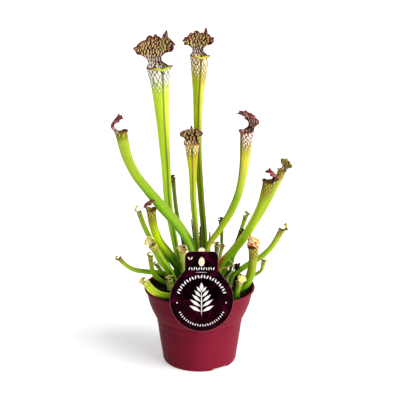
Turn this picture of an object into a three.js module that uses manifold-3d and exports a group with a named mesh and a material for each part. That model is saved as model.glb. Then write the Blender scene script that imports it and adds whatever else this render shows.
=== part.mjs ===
// A potted trumpet pitcher plant: a burgundy nursery pot full of peat, a clump of pitcher leaves, and a
// round label card hung on a cream stake. Millimetres, +Z up, the origin at the centre of the underside
// of the pot, the front of the plant towards -Y.
import * as THREE from "three";
import { mergeVertices } from "three/addons/utils/BufferGeometryUtils.js";
import Module from "manifold-3d";

const wasm = await Module();
wasm.setup();

const { Vector3 } = THREE;
const UP = new Vector3(0, 0, 1);
const TURN = 2 * Math.PI;

// ---- Driving dimensions -----------------------------------------------------------------------

const GAP = 0.3; // between pieces that touch

const RIM_RADIUS = 60;
const POT_HEIGHT = 84;
const POT_SIDES = 40;
const BAND_FOOT = 52.5; // height of the ledge under the rim band
const BAND_RADIUS = 48.8; // outer radius at the foot of the band
const BODY_TOP_RADIUS = 46.6;
const BODY_FOOT_RADIUS = 41;
const BASE_RADIUS = 38.4; // of the flat that the pot stands on
const NOTCH_COUNT = 3;
const NOTCH_AT = -56; // degrees about +Z from +X, the middle of the first drainage notch
const NOTCH_WIDTH = 22;
const NOTCH_HEIGHT = 2.8;
const NOTCH_SLOPE = 3; // width of its slanted sides
const NOTCH_INSIDE = 32; // radius that the notches are cut in to
const POT_FLOOR = 4.2; // height of the floor inside

const MIX_LEVEL = 76;
const MIX_RADIUS = 54;
const MIX_LUMPS = 1.3;
const MIX_SIDES = 30;
const SOCKET_LENGTH = 40; // of the holes in the mix, enough to come out of its top
const FOOT_DEPTH = 12; // of each leaf foot below the mix level
const COLLAR = 5; // height above the mix level where a leaf starts to lean

const CARD_RADIUS = 32.5;
const CARD_HEIGHT = 82;
const CARD_THICKNESS = 0.9;
const TAB_HALF_WIDTH = 17;
const TAB_CORNER = 6;
const TAB_FILLET = 5;
const CARD_TILT = 13.2; // degrees off upright, its foot outwards
const CARD_X = 2.1;
const HOLE_BELOW_TOP = 10.3;
const HOLE_HALF_WIDTH = 3.6;
const HOLE_HALF_HEIGHT = 5.2;

const STAKE_WIDTH = 7;
const STAKE_THICKNESS = 2;
const STAKE_ABOVE_CARD = 3.5;
const STAKE_DEPTH = 16; // below the mix level
const STAKE_POINT = 0.8; // half width of its foot
const PEG_AHEAD = 1.6; // in front of the card

// The detail of a leaf: plain columns on each side of its tube, strips across its hood, rows along the
// hood, rings for each stretch of the tube, wall and blade thickness.
const LARGE = { sides: 2, strips: 10, rows: 7, rings: 1.6, wall: 0.9, blade: 1.0 };
const MIDDLING = { sides: 2, strips: 6, rows: 6, rings: 1.6, wall: 0.8, blade: 0.8 };
const SMALL = { sides: 1, strips: 4, rows: 4, rings: 1.4, wall: 0.7, blade: 0.7 };

// Each leaf stands in the mix at foot [x, y, radius]. Its tube runs through [x, y, z, radius] up to the
// mouth, which faces the way given. wing is the height of the fin along its front, cup the depth of its
// hollow, and hood what differs from a plain hood: its height, breadth and ruffles, their phase, how far it
// leans forwards, where its point stands across it, how far its edge droops, and the breadth of its neck.
const LEAVES = [
  {
    name: "tall_left_pitcher", size: LARGE, foot: [-18, 18, 3],
    faces: [0.35, -0.94, 0], wing: 1.5, cup: 100,
    tube: [[-27.5, 18.5, 130, 3.5], [-33.5, 18.5, 170, 4.4], [-36, 19, 213, 5], [-39, 19.5, 261, 6.8],
      [-41, 20, 295, 9.3], [-42.5, 20, 317, 13]],
    hood: { wide: 1.06, wave: 1.1, phase: 0.4, point: -0.58 },
  },
  {
    name: "tall_right_pitcher", size: LARGE, foot: [6, 28, 2.8],
    faces: [0.19, -0.98, 0], wing: 1.5, cup: 85,
    tube: [[5.5, 28.5, 126, 3.3], [2, 28.5, 172, 3.4], [-1.5, 29, 228, 3.9], [-1.5, 29.5, 282, 5.3],
      [-0.5, 30, 308, 8], [0, 30, 328, 10]],
    hood: { phase: 2.1, point: -0.5 },
  },
  {
    name: "middle_pitcher", size: LARGE, foot: [0, 9, 2.4], faces: [0.05, -1, 0], wing: 1.2, cup: 55,
    tube: [[-3, 4.5, 134, 2.7], [-6.5, 1, 179, 3.3], [-7, -1, 207, 4], [-7.5, -2.5, 223, 5.4],
      [-8, -4, 241, 7.6]],
    hood: { tall: 0.85, phase: 1.2, neck: 1.6 },
  },
  {
    name: "left_curved_pitcher", size: LARGE, foot: [-5, -3, 2.6],
    faces: [1, -0.1, 0.2], wing: 3.6, cup: 60,
    tube: [[-9, -4, 126, 3.4], [-21, -4, 148, 3.7], [-40.5, -4.5, 172, 4.1], [-55.5, -5, 191.5, 4.1],
      [-67, -5, 208, 4.4], [-76, -5.5, 229, 5.2], [-81, -6, 254, 6.4]],
    hood: { wide: 0.95, phase: 0.9, lean: 0.3 },
  },
  {
    name: "right_curved_pitcher", size: LARGE, foot: [5, 0, 2.2],
    faces: [-0.75, -0.65, 0.2], wing: 1.4, cup: 60,
    tube: [[9, -3, 128, 2.7], [21.5, -4, 148, 3.3], [34, -5, 170, 3.9], [42, -6.5, 192, 4.1],
      [46, -8, 217, 4.8], [48.5, -10, 255, 7.2]],
    hood: { tall: 1.2, wide: 1.05, phase: 2.6, lean: 0.6, neck: 1.2 },
  },
  {
    name: "right_pitcher", size: LARGE, foot: [16, 3, 2.8], faces: [-0.8, -0.5, 0.35], wing: 3, cup: 45,
    tube: [[26, 1.5, 110, 3.5], [38, 1, 124, 3.9], [53, 0, 146, 4.1], [63.5, -0.5, 169, 4],
      [70.5, -1.5, 191, 5.4], [73, -2, 200, 6.4]],
    hood: { tall: 0.8, wide: 0.6, wave: 0.6, phase: 0.2, lean: 0.7 },
  },
  {
    name: "left_thick_pitcher", size: MIDDLING, foot: [-17, 3, 3],
    faces: [0.9, -0.35, 0.2], wing: 2.5, cup: 30,
    tube: [[-23, -2, 104, 4.4], [-35, -6.5, 123.5, 4.7], [-43.5, -10.5, 138, 4.4], [-48.5, -15, 156, 4.4],
      [-50.5, -18, 174, 5]],
    hood: { tall: 0.85, wide: 0.7, phase: 1.7, lean: 0.5 },
  },
  {
    name: "front_right_pitcher", size: MIDDLING, foot: [40.5, -12, 2.8],
    faces: [-0.95, 0.25, 0.1], wing: 2, cup: 22,
    tube: [[50, -13, 89, 3.6], [55, -13.5, 100, 3.9], [57, -15, 118, 4.4], [57, -16, 132, 5.6]],
    hood: { tall: 0.85, wide: 1.2, wave: 0.4, phase: 0.5, lean: 0.8, droop: 0.9, neck: 1.5 },
  },
  {
    name: "left_lower_pitcher", size: MIDDLING, foot: [-23, -7, 2.6],
    faces: [0.5, -0.85, 0.1], wing: 2.5, cup: 18,
    tube: [[-33, -16, 107, 4.2], [-40, -21, 119, 4.3], [-45.5, -25.5, 131.5, 4], [-49, -27, 138, 4.6]],
    hood: { tall: 0.9, wide: 0.8, phase: 2.2, droop: 0.9 },
  },
  {
    name: "right_back_pitcher", size: MIDDLING, foot: [21.5, 23, 2.2],
    faces: [-0.5, -0.85, 0.2], wing: 1.5, cup: 20,
    tube: [[42.5, 23.5, 119.5, 2.7], [62, 24, 149, 2.7], [76.5, 25, 175, 2.8], [83, 25, 190, 3.5],
      [89, 25, 206, 4.6]],
    hood: { tall: 1.15, wave: 0.6, phase: 1.1, neck: 1.2 },
  },
  {
    name: "far_right_pitcher", size: SMALL, foot: [31.5, 25, 2.3],
    faces: [-1, -0.3, 0.3], wing: 1.5, cup: 9,
    tube: [[40.5, 23, 89.5, 2.7], [53.5, 22, 99.5, 2.8], [69, 20.5, 110.5, 2.9], [79.5, 18.5, 122.5, 3],
      [89.5, 16, 141.5, 3.4]],
    hood: { wide: 0.6 },
  },
  {
    name: "left_thin_pitcher", size: SMALL, foot: [-28, 38, 1.9],
    faces: [1, -0.3, 0.2], wing: 1, cup: 7,
    tube: [[-42, 34.5, 106, 2.3], [-55, 32, 127.5, 2.4], [-61.5, 30, 143, 2.7], [-66.5, 28, 158.5, 2.7]],
    hood: { tall: 1.15, wide: 0.7, lean: 0.4 },
  },
  {
    name: "far_left_pitcher", size: SMALL, foot: [-28, 16, 2], faces: [1, -0.2, 0.6], wing: 1, cup: 6,
    tube: [[-38, 11, 93, 2.3], [-54.5, 11, 95, 2.5], [-71, 10, 98, 2.4], [-79.5, 8.5, 103.5, 2.2],
      [-87, 6, 112, 2.5]],
    hood: { tall: 0.7, wide: 0.6 },
  },
  {
    name: "small_left_pitcher", size: SMALL, foot: [-30, 5, 2.1],
    faces: [0.8, -0.6, 0.2], wing: 0.8, cup: 6,
    tube: [[-42, 3.5, 88, 2.5], [-49, 2.5, 95, 2.6], [-52.5, 1, 109, 2.5], [-53, 0, 116.5, 2.7]],
    hood: { tall: 0.8, wide: 0.7 },
  },
  {
    name: "rim_pitcher", size: SMALL, foot: [-20, -32, 2.8], faces: [0.3, -0.7, 0.8], wing: 1, cup: 8,
    tube: [[-31, -31, 83, 3.4], [-40, -31, 84, 3.9], [-49.5, -30.5, 89.5, 4], [-57, -29, 98, 4]],
    hood: { tall: 0.6, wide: 0.7 },
  },
  {
    name: "low_left_pitcher", size: SMALL, foot: [-26, -24.5, 2],
    faces: [0.2, -1, 0.1], wing: 0.6, cup: 5,
    tube: [[-29, -26, 90, 2.3], [-31, -27, 100, 2.7]],
    hood: { tall: 0.7, wide: 1.0 },
  },
  {
    name: "upper_left_bud", size: SMALL, foot: [-37, 30, 1.8],
    faces: [0.7, -0.7, 0.2], wing: 0.6, cup: 5,
    tube: [[-43, 27, 91.5, 2], [-48, 26, 98.5, 2.3]],
    hood: { tall: 0.7, wide: 0.8 },
  },
  {
    name: "low_right_pitcher", size: SMALL, foot: [37, -30, 2.2],
    faces: [-0.6, 0.8, 0.1], wing: 0.8, cup: 8,
    tube: [[40.5, -32, 91.5, 2.8], [42, -33, 99.5, 3.6]],
    hood: { tall: 0.95, wide: 0.9, neck: 1.4 },
  },
  {
    name: "short_right_pitcher", size: SMALL, foot: [42, 22, 1.6],
    faces: [-0.9, -0.4, 0.3], wing: 0.6, cup: 5,
    tube: [[50, 19.5, 84, 1.8], [58.5, 16, 89, 1.8], [67.5, 11, 97, 1.9], [70, 8, 109, 2.5]],
    hood: { tall: 0.7, wide: 0.8 },
  },
  {
    name: "orange_lip_pitcher", size: SMALL, foot: [-15.5, -8, 2],
    faces: [0.6, -0.8, 0.2], wing: 0.8, cup: 10,
    tube: [[-16, -10, 105, 2.2], [-17, -11.5, 118.5, 2.8], [-18, -12, 127.5, 4.5]],
    hood: { tall: 0.5, wide: 0.8 },
  },
  {
    name: "pale_back_pitcher", size: SMALL, foot: [16, 32, 1.8],
    faces: [0.2, -1, 0.2], wing: 0.6, cup: 6,
    tube: [[18.5, 31, 102, 2], [19, 30.5, 112, 2.3], [19.5, 30, 120, 3.2]],
    hood: { tall: 0.45, wide: 1.0 },
  },
  {
    name: "orange_pale_pitcher", size: SMALL, foot: [21, 14, 1.6],
    faces: [-0.7, -0.7, 0.2], wing: 0.5, cup: 5,
    tube: [[22, 12.5, 104, 1.8], [23, 12.5, 116.5, 1.9], [25, 12, 124, 2.3]],
    hood: { tall: 0.5, wide: 0.8 },
  },
  {
    name: "dark_back_pitcher", size: SMALL, foot: [-14, 38, 1.8],
    faces: [0.3, -0.95, 0], wing: 0.6, cup: 6,
    tube: [[-18.5, 39, 123, 2.2], [-25, 39.5, 153, 2.2], [-28, 40, 180.5, 2.2], [-29, 40, 194, 2.5]],
    hood: { tall: 0.6, wide: 0.7 },
  },
  {
    name: "brown_top_pitcher", size: SMALL, foot: [20, 42, 1.6],
    faces: [-0.3, -0.95, 0], wing: 0.5, cup: 6,
    tube: [[24, 42, 105, 1.7], [25, 42, 127, 1.8], [24, 42, 145, 2.8]],
    hood: { tall: 0.5, wide: 0.9 },
  },
  {
    name: "pale_right_back_pitcher", size: SMALL, foot: [33, 36, 1.7],
    faces: [-0.6, -0.8, 0], wing: 0.5, cup: 6,
    tube: [[43, 40, 124, 1.9], [49.5, 42, 143, 2.3], [51.5, 42.5, 150, 2.7]],
    hood: { tall: 0.8, wide: 1.0 },
  },
  {
    name: "purple_pitcher", size: SMALL, foot: [27, 31, 1.6],
    faces: [-0.6, -0.8, 0.1], wing: 0.4, cup: 6,
    tube: [[37.5, 31.5, 114, 1.6], [42.5, 31, 128, 1.7], [46, 31, 135, 2.6]],
    hood: { tall: 0.6, wide: 0.9 },
  },
];

// Withered leaves and tendrils: a foot [x, y], points [x, y, z] to the tip, half width and half thickness.
const STALKS = [
  { name: "yellow_thin_leaf", foot: [10, 38], run: [[11, 37, 118], [11.7, 36, 134]], half: [1.5, 0.6] },
  { name: "withered_dark_leaf", foot: [0, 20], run: [[1, 18, 129], [0.8, 17, 146]], half: [1.6, 0.6] },
  {
    name: "dark_thin_tip", foot: [-4, 20], half: [1.2, 0.6],
    run: [[-5, 20, 120], [-6.5, 20, 132], [-9, 20, 154]],
  },
  {
    name: "dry_orange_leaf", foot: [14, -21], half: [1.1, 0.6],
    run: [[17, -20.5, 96], [21, -20, 108], [28, -20.5, 111], [34, -21, 114]],
  },
  {
    name: "pale_tendril", foot: [29, -9], half: [0.8, 0.6],
    run: [[31, -7.5, 96.5], [36.5, -8, 105], [34.5, -9, 113], [31, -9, 116]],
  },
];

const COLOURS = {
  pot: 0x7d1b2f,
  mix: 0x2a211a,
  card: 0x2b1016,
  stake: 0xe4d9bd,
  lime: 0x9cc23c,
  withered: 0x6e4a2c,
};

// ---- Meshes -----------------------------------------------------------------------------------

/** Points and triangles of one closed body. */
class Body {
  constructor() {
    this.points = [];
    this.faces = [];
  }

  point(v) {
    return this.points.push(v.x, v.y, v.z) / 3 - 1;
  }

  row(vectors) {
    return vectors.map((v) => this.point(v));
  }

  triangle(a, b, c) {
    if (a !== b && b !== c && c !== a) this.faces.push(a, b, c);
  }

  quad(a, b, c, d) {
    this.triangle(a, b, c);
    this.triangle(a, c, d);
  }

  /** The strip between two rows; a closed one joins its last column to its first. */
  strip(low, high, closed = false) {
    const count = closed ? low.length : low.length - 1;
    for (let j = 0; j < count; j += 1) {
      const k = (j + 1) % low.length;
      this.quad(low[j], low[k], high[k], high[j]);
    }
  }

  /** A fan from the middle of a closed row, facing along the row's own turning. */
  cap(row, middle) {
    const centre = this.point(middle);
    row.forEach((at, j) => this.triangle(centre, at, row[(j + 1) % row.length]));
  }

  geometry() {
    const geometry = new THREE.BufferGeometry();
    geometry.setAttribute("position", new THREE.Float32BufferAttribute(this.points, 3));
    geometry.setIndex(this.faces);
    return geometry;
  }
}

function toManifold(geometry) {
  const bare = geometry.clone();
  bare.deleteAttribute("normal");
  bare.deleteAttribute("uv");
  const merged = mergeVertices(bare, 1e-4);
  return new wasm.Manifold(new wasm.Mesh({
    numProp: 3,
    vertProperties: new Float32Array(merged.attributes.position.array),
    triVerts: new Uint32Array(merged.index.array),
  }));
}

function fromManifold(solid) {
  const mesh = solid.getMesh();
  const geometry = new THREE.BufferGeometry();
  geometry.setAttribute("position", new THREE.BufferAttribute(mesh.vertProperties, 3));
  geometry.setIndex(new THREE.BufferAttribute(mesh.triVerts, 1));
  return geometry;
}

function named(name, geometry, colour, roughness) {
  geometry.computeVertexNormals();
  const material = new THREE.MeshStandardMaterial({ color: colour, roughness, metalness: 0 });
  const mesh = new THREE.Mesh(geometry, material);
  mesh.name = name;
  return mesh;
}

/** A solid of revolution about +Z from [radius, height] pairs that start and end on the axis. */
function turned(profile, sides) {
  const points = profile.map(([radius, height]) => new THREE.Vector2(radius, height));
  return new THREE.LatheGeometry(points, sides).rotateX(Math.PI / 2);
}

// ---- Leaves -----------------------------------------------------------------------------------

const HOOD_ARC = THREE.MathUtils.degToRad(80); // half of the mouth's edge that the hood rises from
const TIP_HALF = 0.4; // half thickness of the wing at its edge, and at its root
const ROOT_HALF = 0.6;
const THIN_TUBE = 2; // radius below which the wing gets thinner with its tube
const BESIDE_WING = 0.3; // angle from the front to where a tube's plain columns start
const WING_SKEW = 0.65; // below 1, puts the widest part of the wing below the middle of the tube

// The mouth, in mouth radii: how far its back stands above its front, the spout at the front of its lip and
// the spout's angle, and the radius and rise of the lip's outermost and topmost edges.
const MOUTH_RISE = 0.1;
const SPOUT = 0.12;
const SPOUT_ANGLE = 0.3;
const FLARE = { radius: 1.1, rise: 0.05 };
const CREST = { radius: 1.02, rise: 0.16 };
const FLARE_AHEAD = 0.2; // in millimetres, so that small lips keep a roll

// The middle line of a hood and its breadth, in mouth radii: share of its length, reach forwards from the
// axis, height, half width, and how far its sides curl forwards.
const HOOD_LINE = [
  { at: 0, reach: -1, height: 0, half: 0.98, curl: 0.82 },
  { at: 0.2, reach: -1.12, height: 0.42, half: 0.56, curl: 0.34 },
  { at: 0.33, reach: -1.32, height: 0.74, half: 0.64, curl: 0.25 },
  { at: 0.46, reach: -1.45, height: 1.1, half: 1.08, curl: 0.25 },
  { at: 0.6, reach: -1.36, height: 1.5, half: 1.42, curl: 0.2 },
  { at: 0.8, reach: -0.75, height: 2.08, half: 1.6, curl: 0.1 },
  { at: 1, reach: 0, height: 2.48, half: 1.5, curl: 0.05 },
];
const HOOD_POINT = 0.4; // height of the point in the hood's edge
const HOOD_NOTCH = 0.24; // depth of the dips beside it
const NOTCH_ACROSS = 0.32; // how far from the point they lie, of the hood's half width
const LOBE_WIDTH = 0.14; // of the point and the dips
const HOOD_DROOP = 0.5; // how far the edge falls towards its sides
const HOOD_SAG = 0.64; // share of that fall that the sides below the edge take part in
const HOOD_TAPER = 0.14; // how much narrower the edge is than the widest part
const HOOD_RUFFLE = 0.2;
const RUFFLES = 5.6; // waves in a radian about the blade's middle, RUFFLE_MIDDLE up the hood
const RUFFLE_MIDDLE = 0.3;
const RUFFLE_SPREAD = 1.5;
const RUFFLE_LIFT = 0.6; // share of a wave that lifts the margin too

function smoothstep(low, high, x) {
  return THREE.MathUtils.smoothstep(x, low, high);
}

function hoodLine(share, key) {
  const upper = Math.max(1, HOOD_LINE.findIndex((row) => row.at >= share - 1e-9));
  const [a, b] = [HOOD_LINE[upper - 1], HOOD_LINE[upper]];
  return THREE.MathUtils.mapLinear(share, a.at, b.at, a[key], b[key]);
}

/** The way through the leaf's tube: its rings' centres, directions and radii, the foot first. */
function stations(leaf) {
  const [footX, footY, footRadius] = leaf.foot;
  const collar = MIX_LEVEL + COLLAR;
  const through = [[footX, footY, collar, footRadius], ...leaf.tube];
  const line = new THREE.CatmullRomCurve3(through.map(([x, y, z]) => new Vector3(x, y, z)));
  const girth = new THREE.CatmullRomCurve3(through.map((p) => new Vector3(p[3], 0, 0)));
  const count = Math.round(leaf.size.rings * leaf.tube.length);
  const base = new Vector3(footX, footY, MIX_LEVEL - FOOT_DEPTH);
  const rings = [{ at: base, along: UP, radius: footRadius, share: 0 }];
  for (let i = 0; i <= count; i += 1) {
    const share = i / count;
    const along = i === 0 ? UP : line.getTangent(share);
    rings.push({ at: line.getPoint(share), along, radius: girth.getPoint(share).x, share });
  }
  return rings;
}

/** The forward and sideways directions of a ring. */
function ringAxes(ring, leaf) {
  const forward = new Vector3(...leaf.faces);
  forward.addScaledVector(ring.along, -forward.dot(ring.along)).normalize();
  return { forward, side: new Vector3().crossVectors(ring.along, forward) };
}

/** Angles of a tube's columns from its front; the wing's four are null. */
function columnAngles(size) {
  const side = [];
  const back = [];
  const { lerp } = THREE.MathUtils;
  const hoodFrom = Math.PI - HOOD_ARC;
  for (let j = 1; j <= size.sides; j += 1) side.push(lerp(BESIDE_WING, hoodFrom, j / (size.sides + 1)));
  for (let j = 0; j <= size.strips; j += 1) back.push(lerp(hoodFrom, TURN - hoodFrom, j / size.strips));
  const mirrored = side.map((angle) => TURN - angle).reverse();
  return [null, null, ...side, ...back, ...mirrored, null, null];
}

/** One ring of points round a tube, with the wing's four columns standing out by the given height. */
function ringPoints(ring, leaf, radius, wing, lift = () => 0) {
  const { forward, side } = ringAxes(ring, leaf);
  const angles = columnAngles(leaf.size);
  const last = angles.length - 1;
  const place = (ahead, across, angle) => ring.at.clone()
    .addScaledVector(forward, ahead)
    .addScaledVector(side, across)
    .addScaledVector(ring.along, lift(angle));
  return angles.map((angle, j) => {
    if (angle !== null) return place(radius * Math.cos(angle), radius * Math.sin(angle), angle);
    const isTip = j === 0 || j === last;
    const half = (isTip ? TIP_HALF : ROOT_HALF) * Math.min(1, radius / THIN_TUBE);
    const across = j < 2 ? half : -half;
    const ahead = Math.sqrt(radius ** 2 - across ** 2) + (isTip ? wing : 0);
    return place(ahead, across, Math.atan2(across, ahead));
  });
}

/** A point on the middle of the hood's blade: share runs up it, across from -1 to 1. */
function hoodPoint(mouth, leaf, share, across) {
  const { tall = 1, wide = 1, wave = 1, phase = 0, lean = 0 } = leaf.hood;
  const { point = 0, droop = HOOD_DROOP, neck = 1 } = leaf.hood;
  const { forward, side } = ringAxes(mouth, leaf);
  const middle = mouth.radius - leaf.size.wall / 2;
  const around = across * HOOD_ARC;
  const rise = MOUTH_RISE * mouth.radius * Math.cos(around);
  const onMouth = new Vector3(-Math.cos(around) * middle, -Math.sin(around) * middle, rise);

  const edge = share ** 6;
  const beside = Math.abs(across - point);
  const lobes = HOOD_POINT * Math.exp(-((beside / LOBE_WIDTH) ** 2))
    - HOOD_NOTCH * Math.exp(-(((beside - NOTCH_ACROSS) / LOBE_WIDTH) ** 2))
    - droop * across ** 4;
  const blade = smoothstep(0.38, 0.62, share);
  const margin = Math.max(Math.abs(across), smoothstep(0.5, 1, share)) ** 2;
  const angle = Math.atan2(RUFFLE_SPREAD * across, share - RUFFLE_MIDDLE);
  const ruffle = HOOD_RUFFLE * wave * blade * margin * Math.sin(RUFFLES * angle + phase);
  const lift = blade * (RUFFLE_LIFT * ruffle * Math.abs(across)
    - HOOD_SAG * droop * Math.abs(across) ** 3);
  const breadth = THREE.MathUtils.lerp(neck, wide, blade) * (1 - HOOD_TAPER * smoothstep(0.75, 1, share));
  const onBlade = new Vector3(
    hoodLine(share, "reach") + lean * share ** 2 + hoodLine(share, "curl") * across ** 2 + ruffle,
    -across * hoodLine(share, "half") * breadth,
    hoodLine(share, "height") * tall + edge * lobes + lift,
  ).multiplyScalar(mouth.radius);

  const local = onMouth.lerp(onBlade, smoothstep(0, 0.2, share));
  return mouth.at.clone()
    .addScaledVector(forward, local.x)
    .addScaledVector(side, local.y)
    .addScaledVector(mouth.along, local.z);
}

/** The outer and inner face of the hood, row by row, from just above the mouth to its edge. */
function hoodRows(mouth, leaf) {
  const { strips, rows, blade } = leaf.size;
  const step = 0.02;
  const at = (share, across) => hoodPoint(mouth, leaf, share, across);
  const outer = [];
  const inner = [];
  for (let i = 1; i <= rows; i += 1) {
    const share = i / rows;
    const backs = [];
    const fronts = [];
    for (let j = 0; j <= strips; j += 1) {
      const across = (2 * j) / strips - 1;
      const middle = at(share, across);
      const acrossStep = at(share, across + step).sub(at(share, across - step));
      const upStep = middle.clone().sub(at(share - step, across));
      const normal = acrossStep.cross(upStep).normalize().multiplyScalar(blade / 2);
      backs.push(middle.clone().add(normal));
      fronts.push(middle.clone().sub(normal));
    }
    outer.push(backs);
    inner.push(fronts);
  }
  return { outer, inner };
}

/** One pitcher: foot, winged tube with its hollow, rolled lip and ruffled hood in a single body. */
function pitcher(leaf) {
  const body = new Body();
  const { sides, strips, wall } = leaf.size;
  const rings = stations(leaf);
  const mouth = rings[rings.length - 1];
  const firstBack = 2 + sides;
  const lastBack = firstBack + strips;
  const isBack = (j) => j >= firstBack && j <= lastBack;

  const rise = (angle) => -MOUTH_RISE * mouth.radius * Math.cos(angle);
  const edgeRing = (edge, ahead) => {
    const lift = (angle) => {
      const fromFront = Math.atan2(Math.sin(angle), Math.cos(angle));
      const spout = SPOUT * Math.exp(-((fromFront / SPOUT_ANGLE) ** 2));
      return rise(angle) + (edge.rise - spout) * mouth.radius;
    };
    return ringPoints(mouth, leaf, mouth.radius * edge.radius + ahead, 0, lift);
  };
  const wingAt = (share) => leaf.wing * Math.sin(Math.PI * share ** WING_SKEW) ** 2;

  const outer = rings.map((ring, i) => {
    const isMouth = i === rings.length - 1;
    return body.row(ringPoints(ring, leaf, ring.radius, wingAt(ring.share), isMouth ? rise : undefined));
  });
  outer.slice(1).forEach((row, i) => body.strip(outer[i], row, true));
  body.cap([...outer[0]].reverse(), rings[0].at);

  const flare = edgeRing(FLARE, FLARE_AHEAD);
  const crest = edgeRing(CREST, 0);
  const throat = ringPoints(mouth, leaf, mouth.radius - wall, 0, rise);
  const lip = outer[outer.length - 1];
  const inside = body.row(throat);
  const flared = flare.map((v, j) => (isBack(j) ? lip[j] : body.point(v)));
  const crested = crest.map((v, j) => (isBack(j) ? inside[j] : body.point(v)));
  for (let j = 0; j < lip.length; j += 1) {
    const k = (j + 1) % lip.length;
    if (isBack(j) && isBack(k)) continue;
    body.quad(lip[j], lip[k], flared[k], flared[j]);
    body.quad(flared[j], flared[k], crested[k], crested[j]);
    body.quad(crested[j], crested[k], inside[k], inside[j]);
  }

  let previous = inside;
  let left = leaf.cup;
  for (let i = rings.length - 2; i > 1 && left > 0; i -= 1) {
    left -= rings[i].at.distanceTo(rings[i + 1].at);
    const row = body.row(ringPoints(rings[i], leaf, rings[i].radius - wall, 0));
    body.strip(previous, row, true);
    previous = row;
    if (left <= 0) body.cap(previous, rings[i].at);
  }
  if (left > 0) throw new Error(`${leaf.name}: the hollow runs past the foot`);

  const rows = hoodRows(mouth, leaf);
  let back = lip.slice(firstBack, lastBack + 1);
  let front = inside.slice(firstBack, lastBack + 1);
  for (let i = 0; i < rows.outer.length; i += 1) {
    const nextBack = body.row(rows.outer[i]);
    const nextFront = body.row(rows.inner[i]);
    for (let j = 0; j < strips; j += 1) {
      body.quad(back[j], back[j + 1], nextBack[j + 1], nextBack[j]);
      body.triangle(front[j], nextFront[j + 1], front[j + 1]);
      body.triangle(front[j], nextFront[j], nextFront[j + 1]);
    }
    body.quad(front[0], back[0], nextBack[0], nextFront[0]);
    body.quad(back[strips], front[strips], nextFront[strips], nextBack[strips]);
    back = nextBack;
    front = nextFront;
  }
  for (let j = 0; j < strips; j += 1) body.quad(back[j], back[j + 1], front[j + 1], front[j]);
  return body.geometry();
}

const STALK_SPREAD = 0.3; // share of its length over which a stalk widens to its full width
const STALK_TAPER = 0.6; // how much of its width, and of its thickness, is gone at its tip
const STALK_THINNING = 0.3;

/** A thin flattened stalk that narrows to its tip. */
function stalk({ foot, run, half }) {
  const sides = 6;
  const collar = new Vector3(...foot, MIX_LEVEL + COLLAR);
  const line = new THREE.CatmullRomCurve3([collar, ...run.map((p) => new Vector3(...p))]);
  const body = new Body();
  const steps = 2 * run.length;
  const across = new Vector3(1, 0, 0);
  const round = (at, along, wide, thick) => {
    const side = across.clone().addScaledVector(along, -across.dot(along)).normalize();
    const out = new Vector3().crossVectors(along, side);
    return Array.from({ length: sides }, (_, j) => {
      const [ahead, up] = [wide * Math.cos((TURN * j) / sides), thick * Math.sin((TURN * j) / sides)];
      return at.clone().addScaledVector(side, ahead).addScaledVector(out, up);
    });
  };
  const base = new Vector3(...foot, MIX_LEVEL - FOOT_DEPTH);
  const rows = [body.row(round(base, UP, half[1], half[1]))];
  for (let i = 0; i <= steps; i += 1) {
    const share = i / steps;
    const spread = THREE.MathUtils.lerp(half[1], half[0], smoothstep(0, STALK_SPREAD, share));
    const wide = spread * (1 - STALK_TAPER * share ** 3);
    const thick = half[1] * (1 - STALK_THINNING * share);
    const along = i === 0 ? UP : line.getTangent(share);
    rows.push(body.row(round(line.getPoint(share), along, wide, thick)));
  }
  rows.slice(1).forEach((row, i) => body.strip(rows[i], row, true));
  body.cap([...rows[0]].reverse(), base);
  body.cap(rows[rows.length - 1], line.getPoint(1));
  return body.geometry();
}

// ---- Where the label stands -------------------------------------------------------------------

const CARD_LEAN = THREE.MathUtils.degToRad(CARD_TILT);
const TAB_TOP = CARD_HEIGHT - CARD_RADIUS; // above the disc's centre
const HOLE_UP = TAB_TOP - HOLE_BELOW_TOP;
const RIM_TOUCH = 82.6; // height where the card's back leans on the rim
const TOUCH_UP = -7.3; // the same place on the card, above the disc's centre

/** A place on the card's back, given by its distance up the card from the disc's centre. */
function cardBack(up) {
  const along = up - TOUCH_UP;
  return {
    y: -RIM_RADIUS - GAP + along * Math.sin(CARD_LEAN),
    z: RIM_TOUCH + along * Math.cos(CARD_LEAN),
  };
}

const STAKE_FRONT = cardBack(TAB_TOP).y + GAP;
const STAKE_TOP = cardBack(TAB_TOP).z + STAKE_ABOVE_CARD;
const STAKE_FOOT = MIX_LEVEL - STAKE_DEPTH;

// ---- Pot and mix ------------------------------------------------------------------------------

/** Outside of the pot from the edge of its flat up to the lip of its rim. */
const POT_OUTSIDE = [
  [BASE_RADIUS, 0],
  [40.1, 1.6],
  [40.8, 4.6],
  [BODY_FOOT_RADIUS, 8],
  [43.8, 27],
  [BODY_TOP_RADIUS, 49],
  [47, BAND_FOOT - 1.6],
  [BAND_RADIUS, BAND_FOOT],
  [51.6, 58.5],
  [54.6, 66.5],
  [56.4, 74],
  [57.3, 79.5],
  [RIM_RADIUS - 0.4, 81.6],
  [RIM_RADIUS, 82.6],
  [RIM_RADIUS - 0.4, POT_HEIGHT - 0.2],
  [RIM_RADIUS - 1, POT_HEIGHT],
];

/** Inside of the pot from its rim down to its floor. */
const POT_INSIDE = [
  [58.2, POT_HEIGHT - 0.2],
  [55.9, 79],
  [54.8, 73],
  [50, 58.5],
  [46, 53.5],
  [45.1, 48],
  [39.6, 8],
  [36.5, POT_FLOOR],
];

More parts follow.
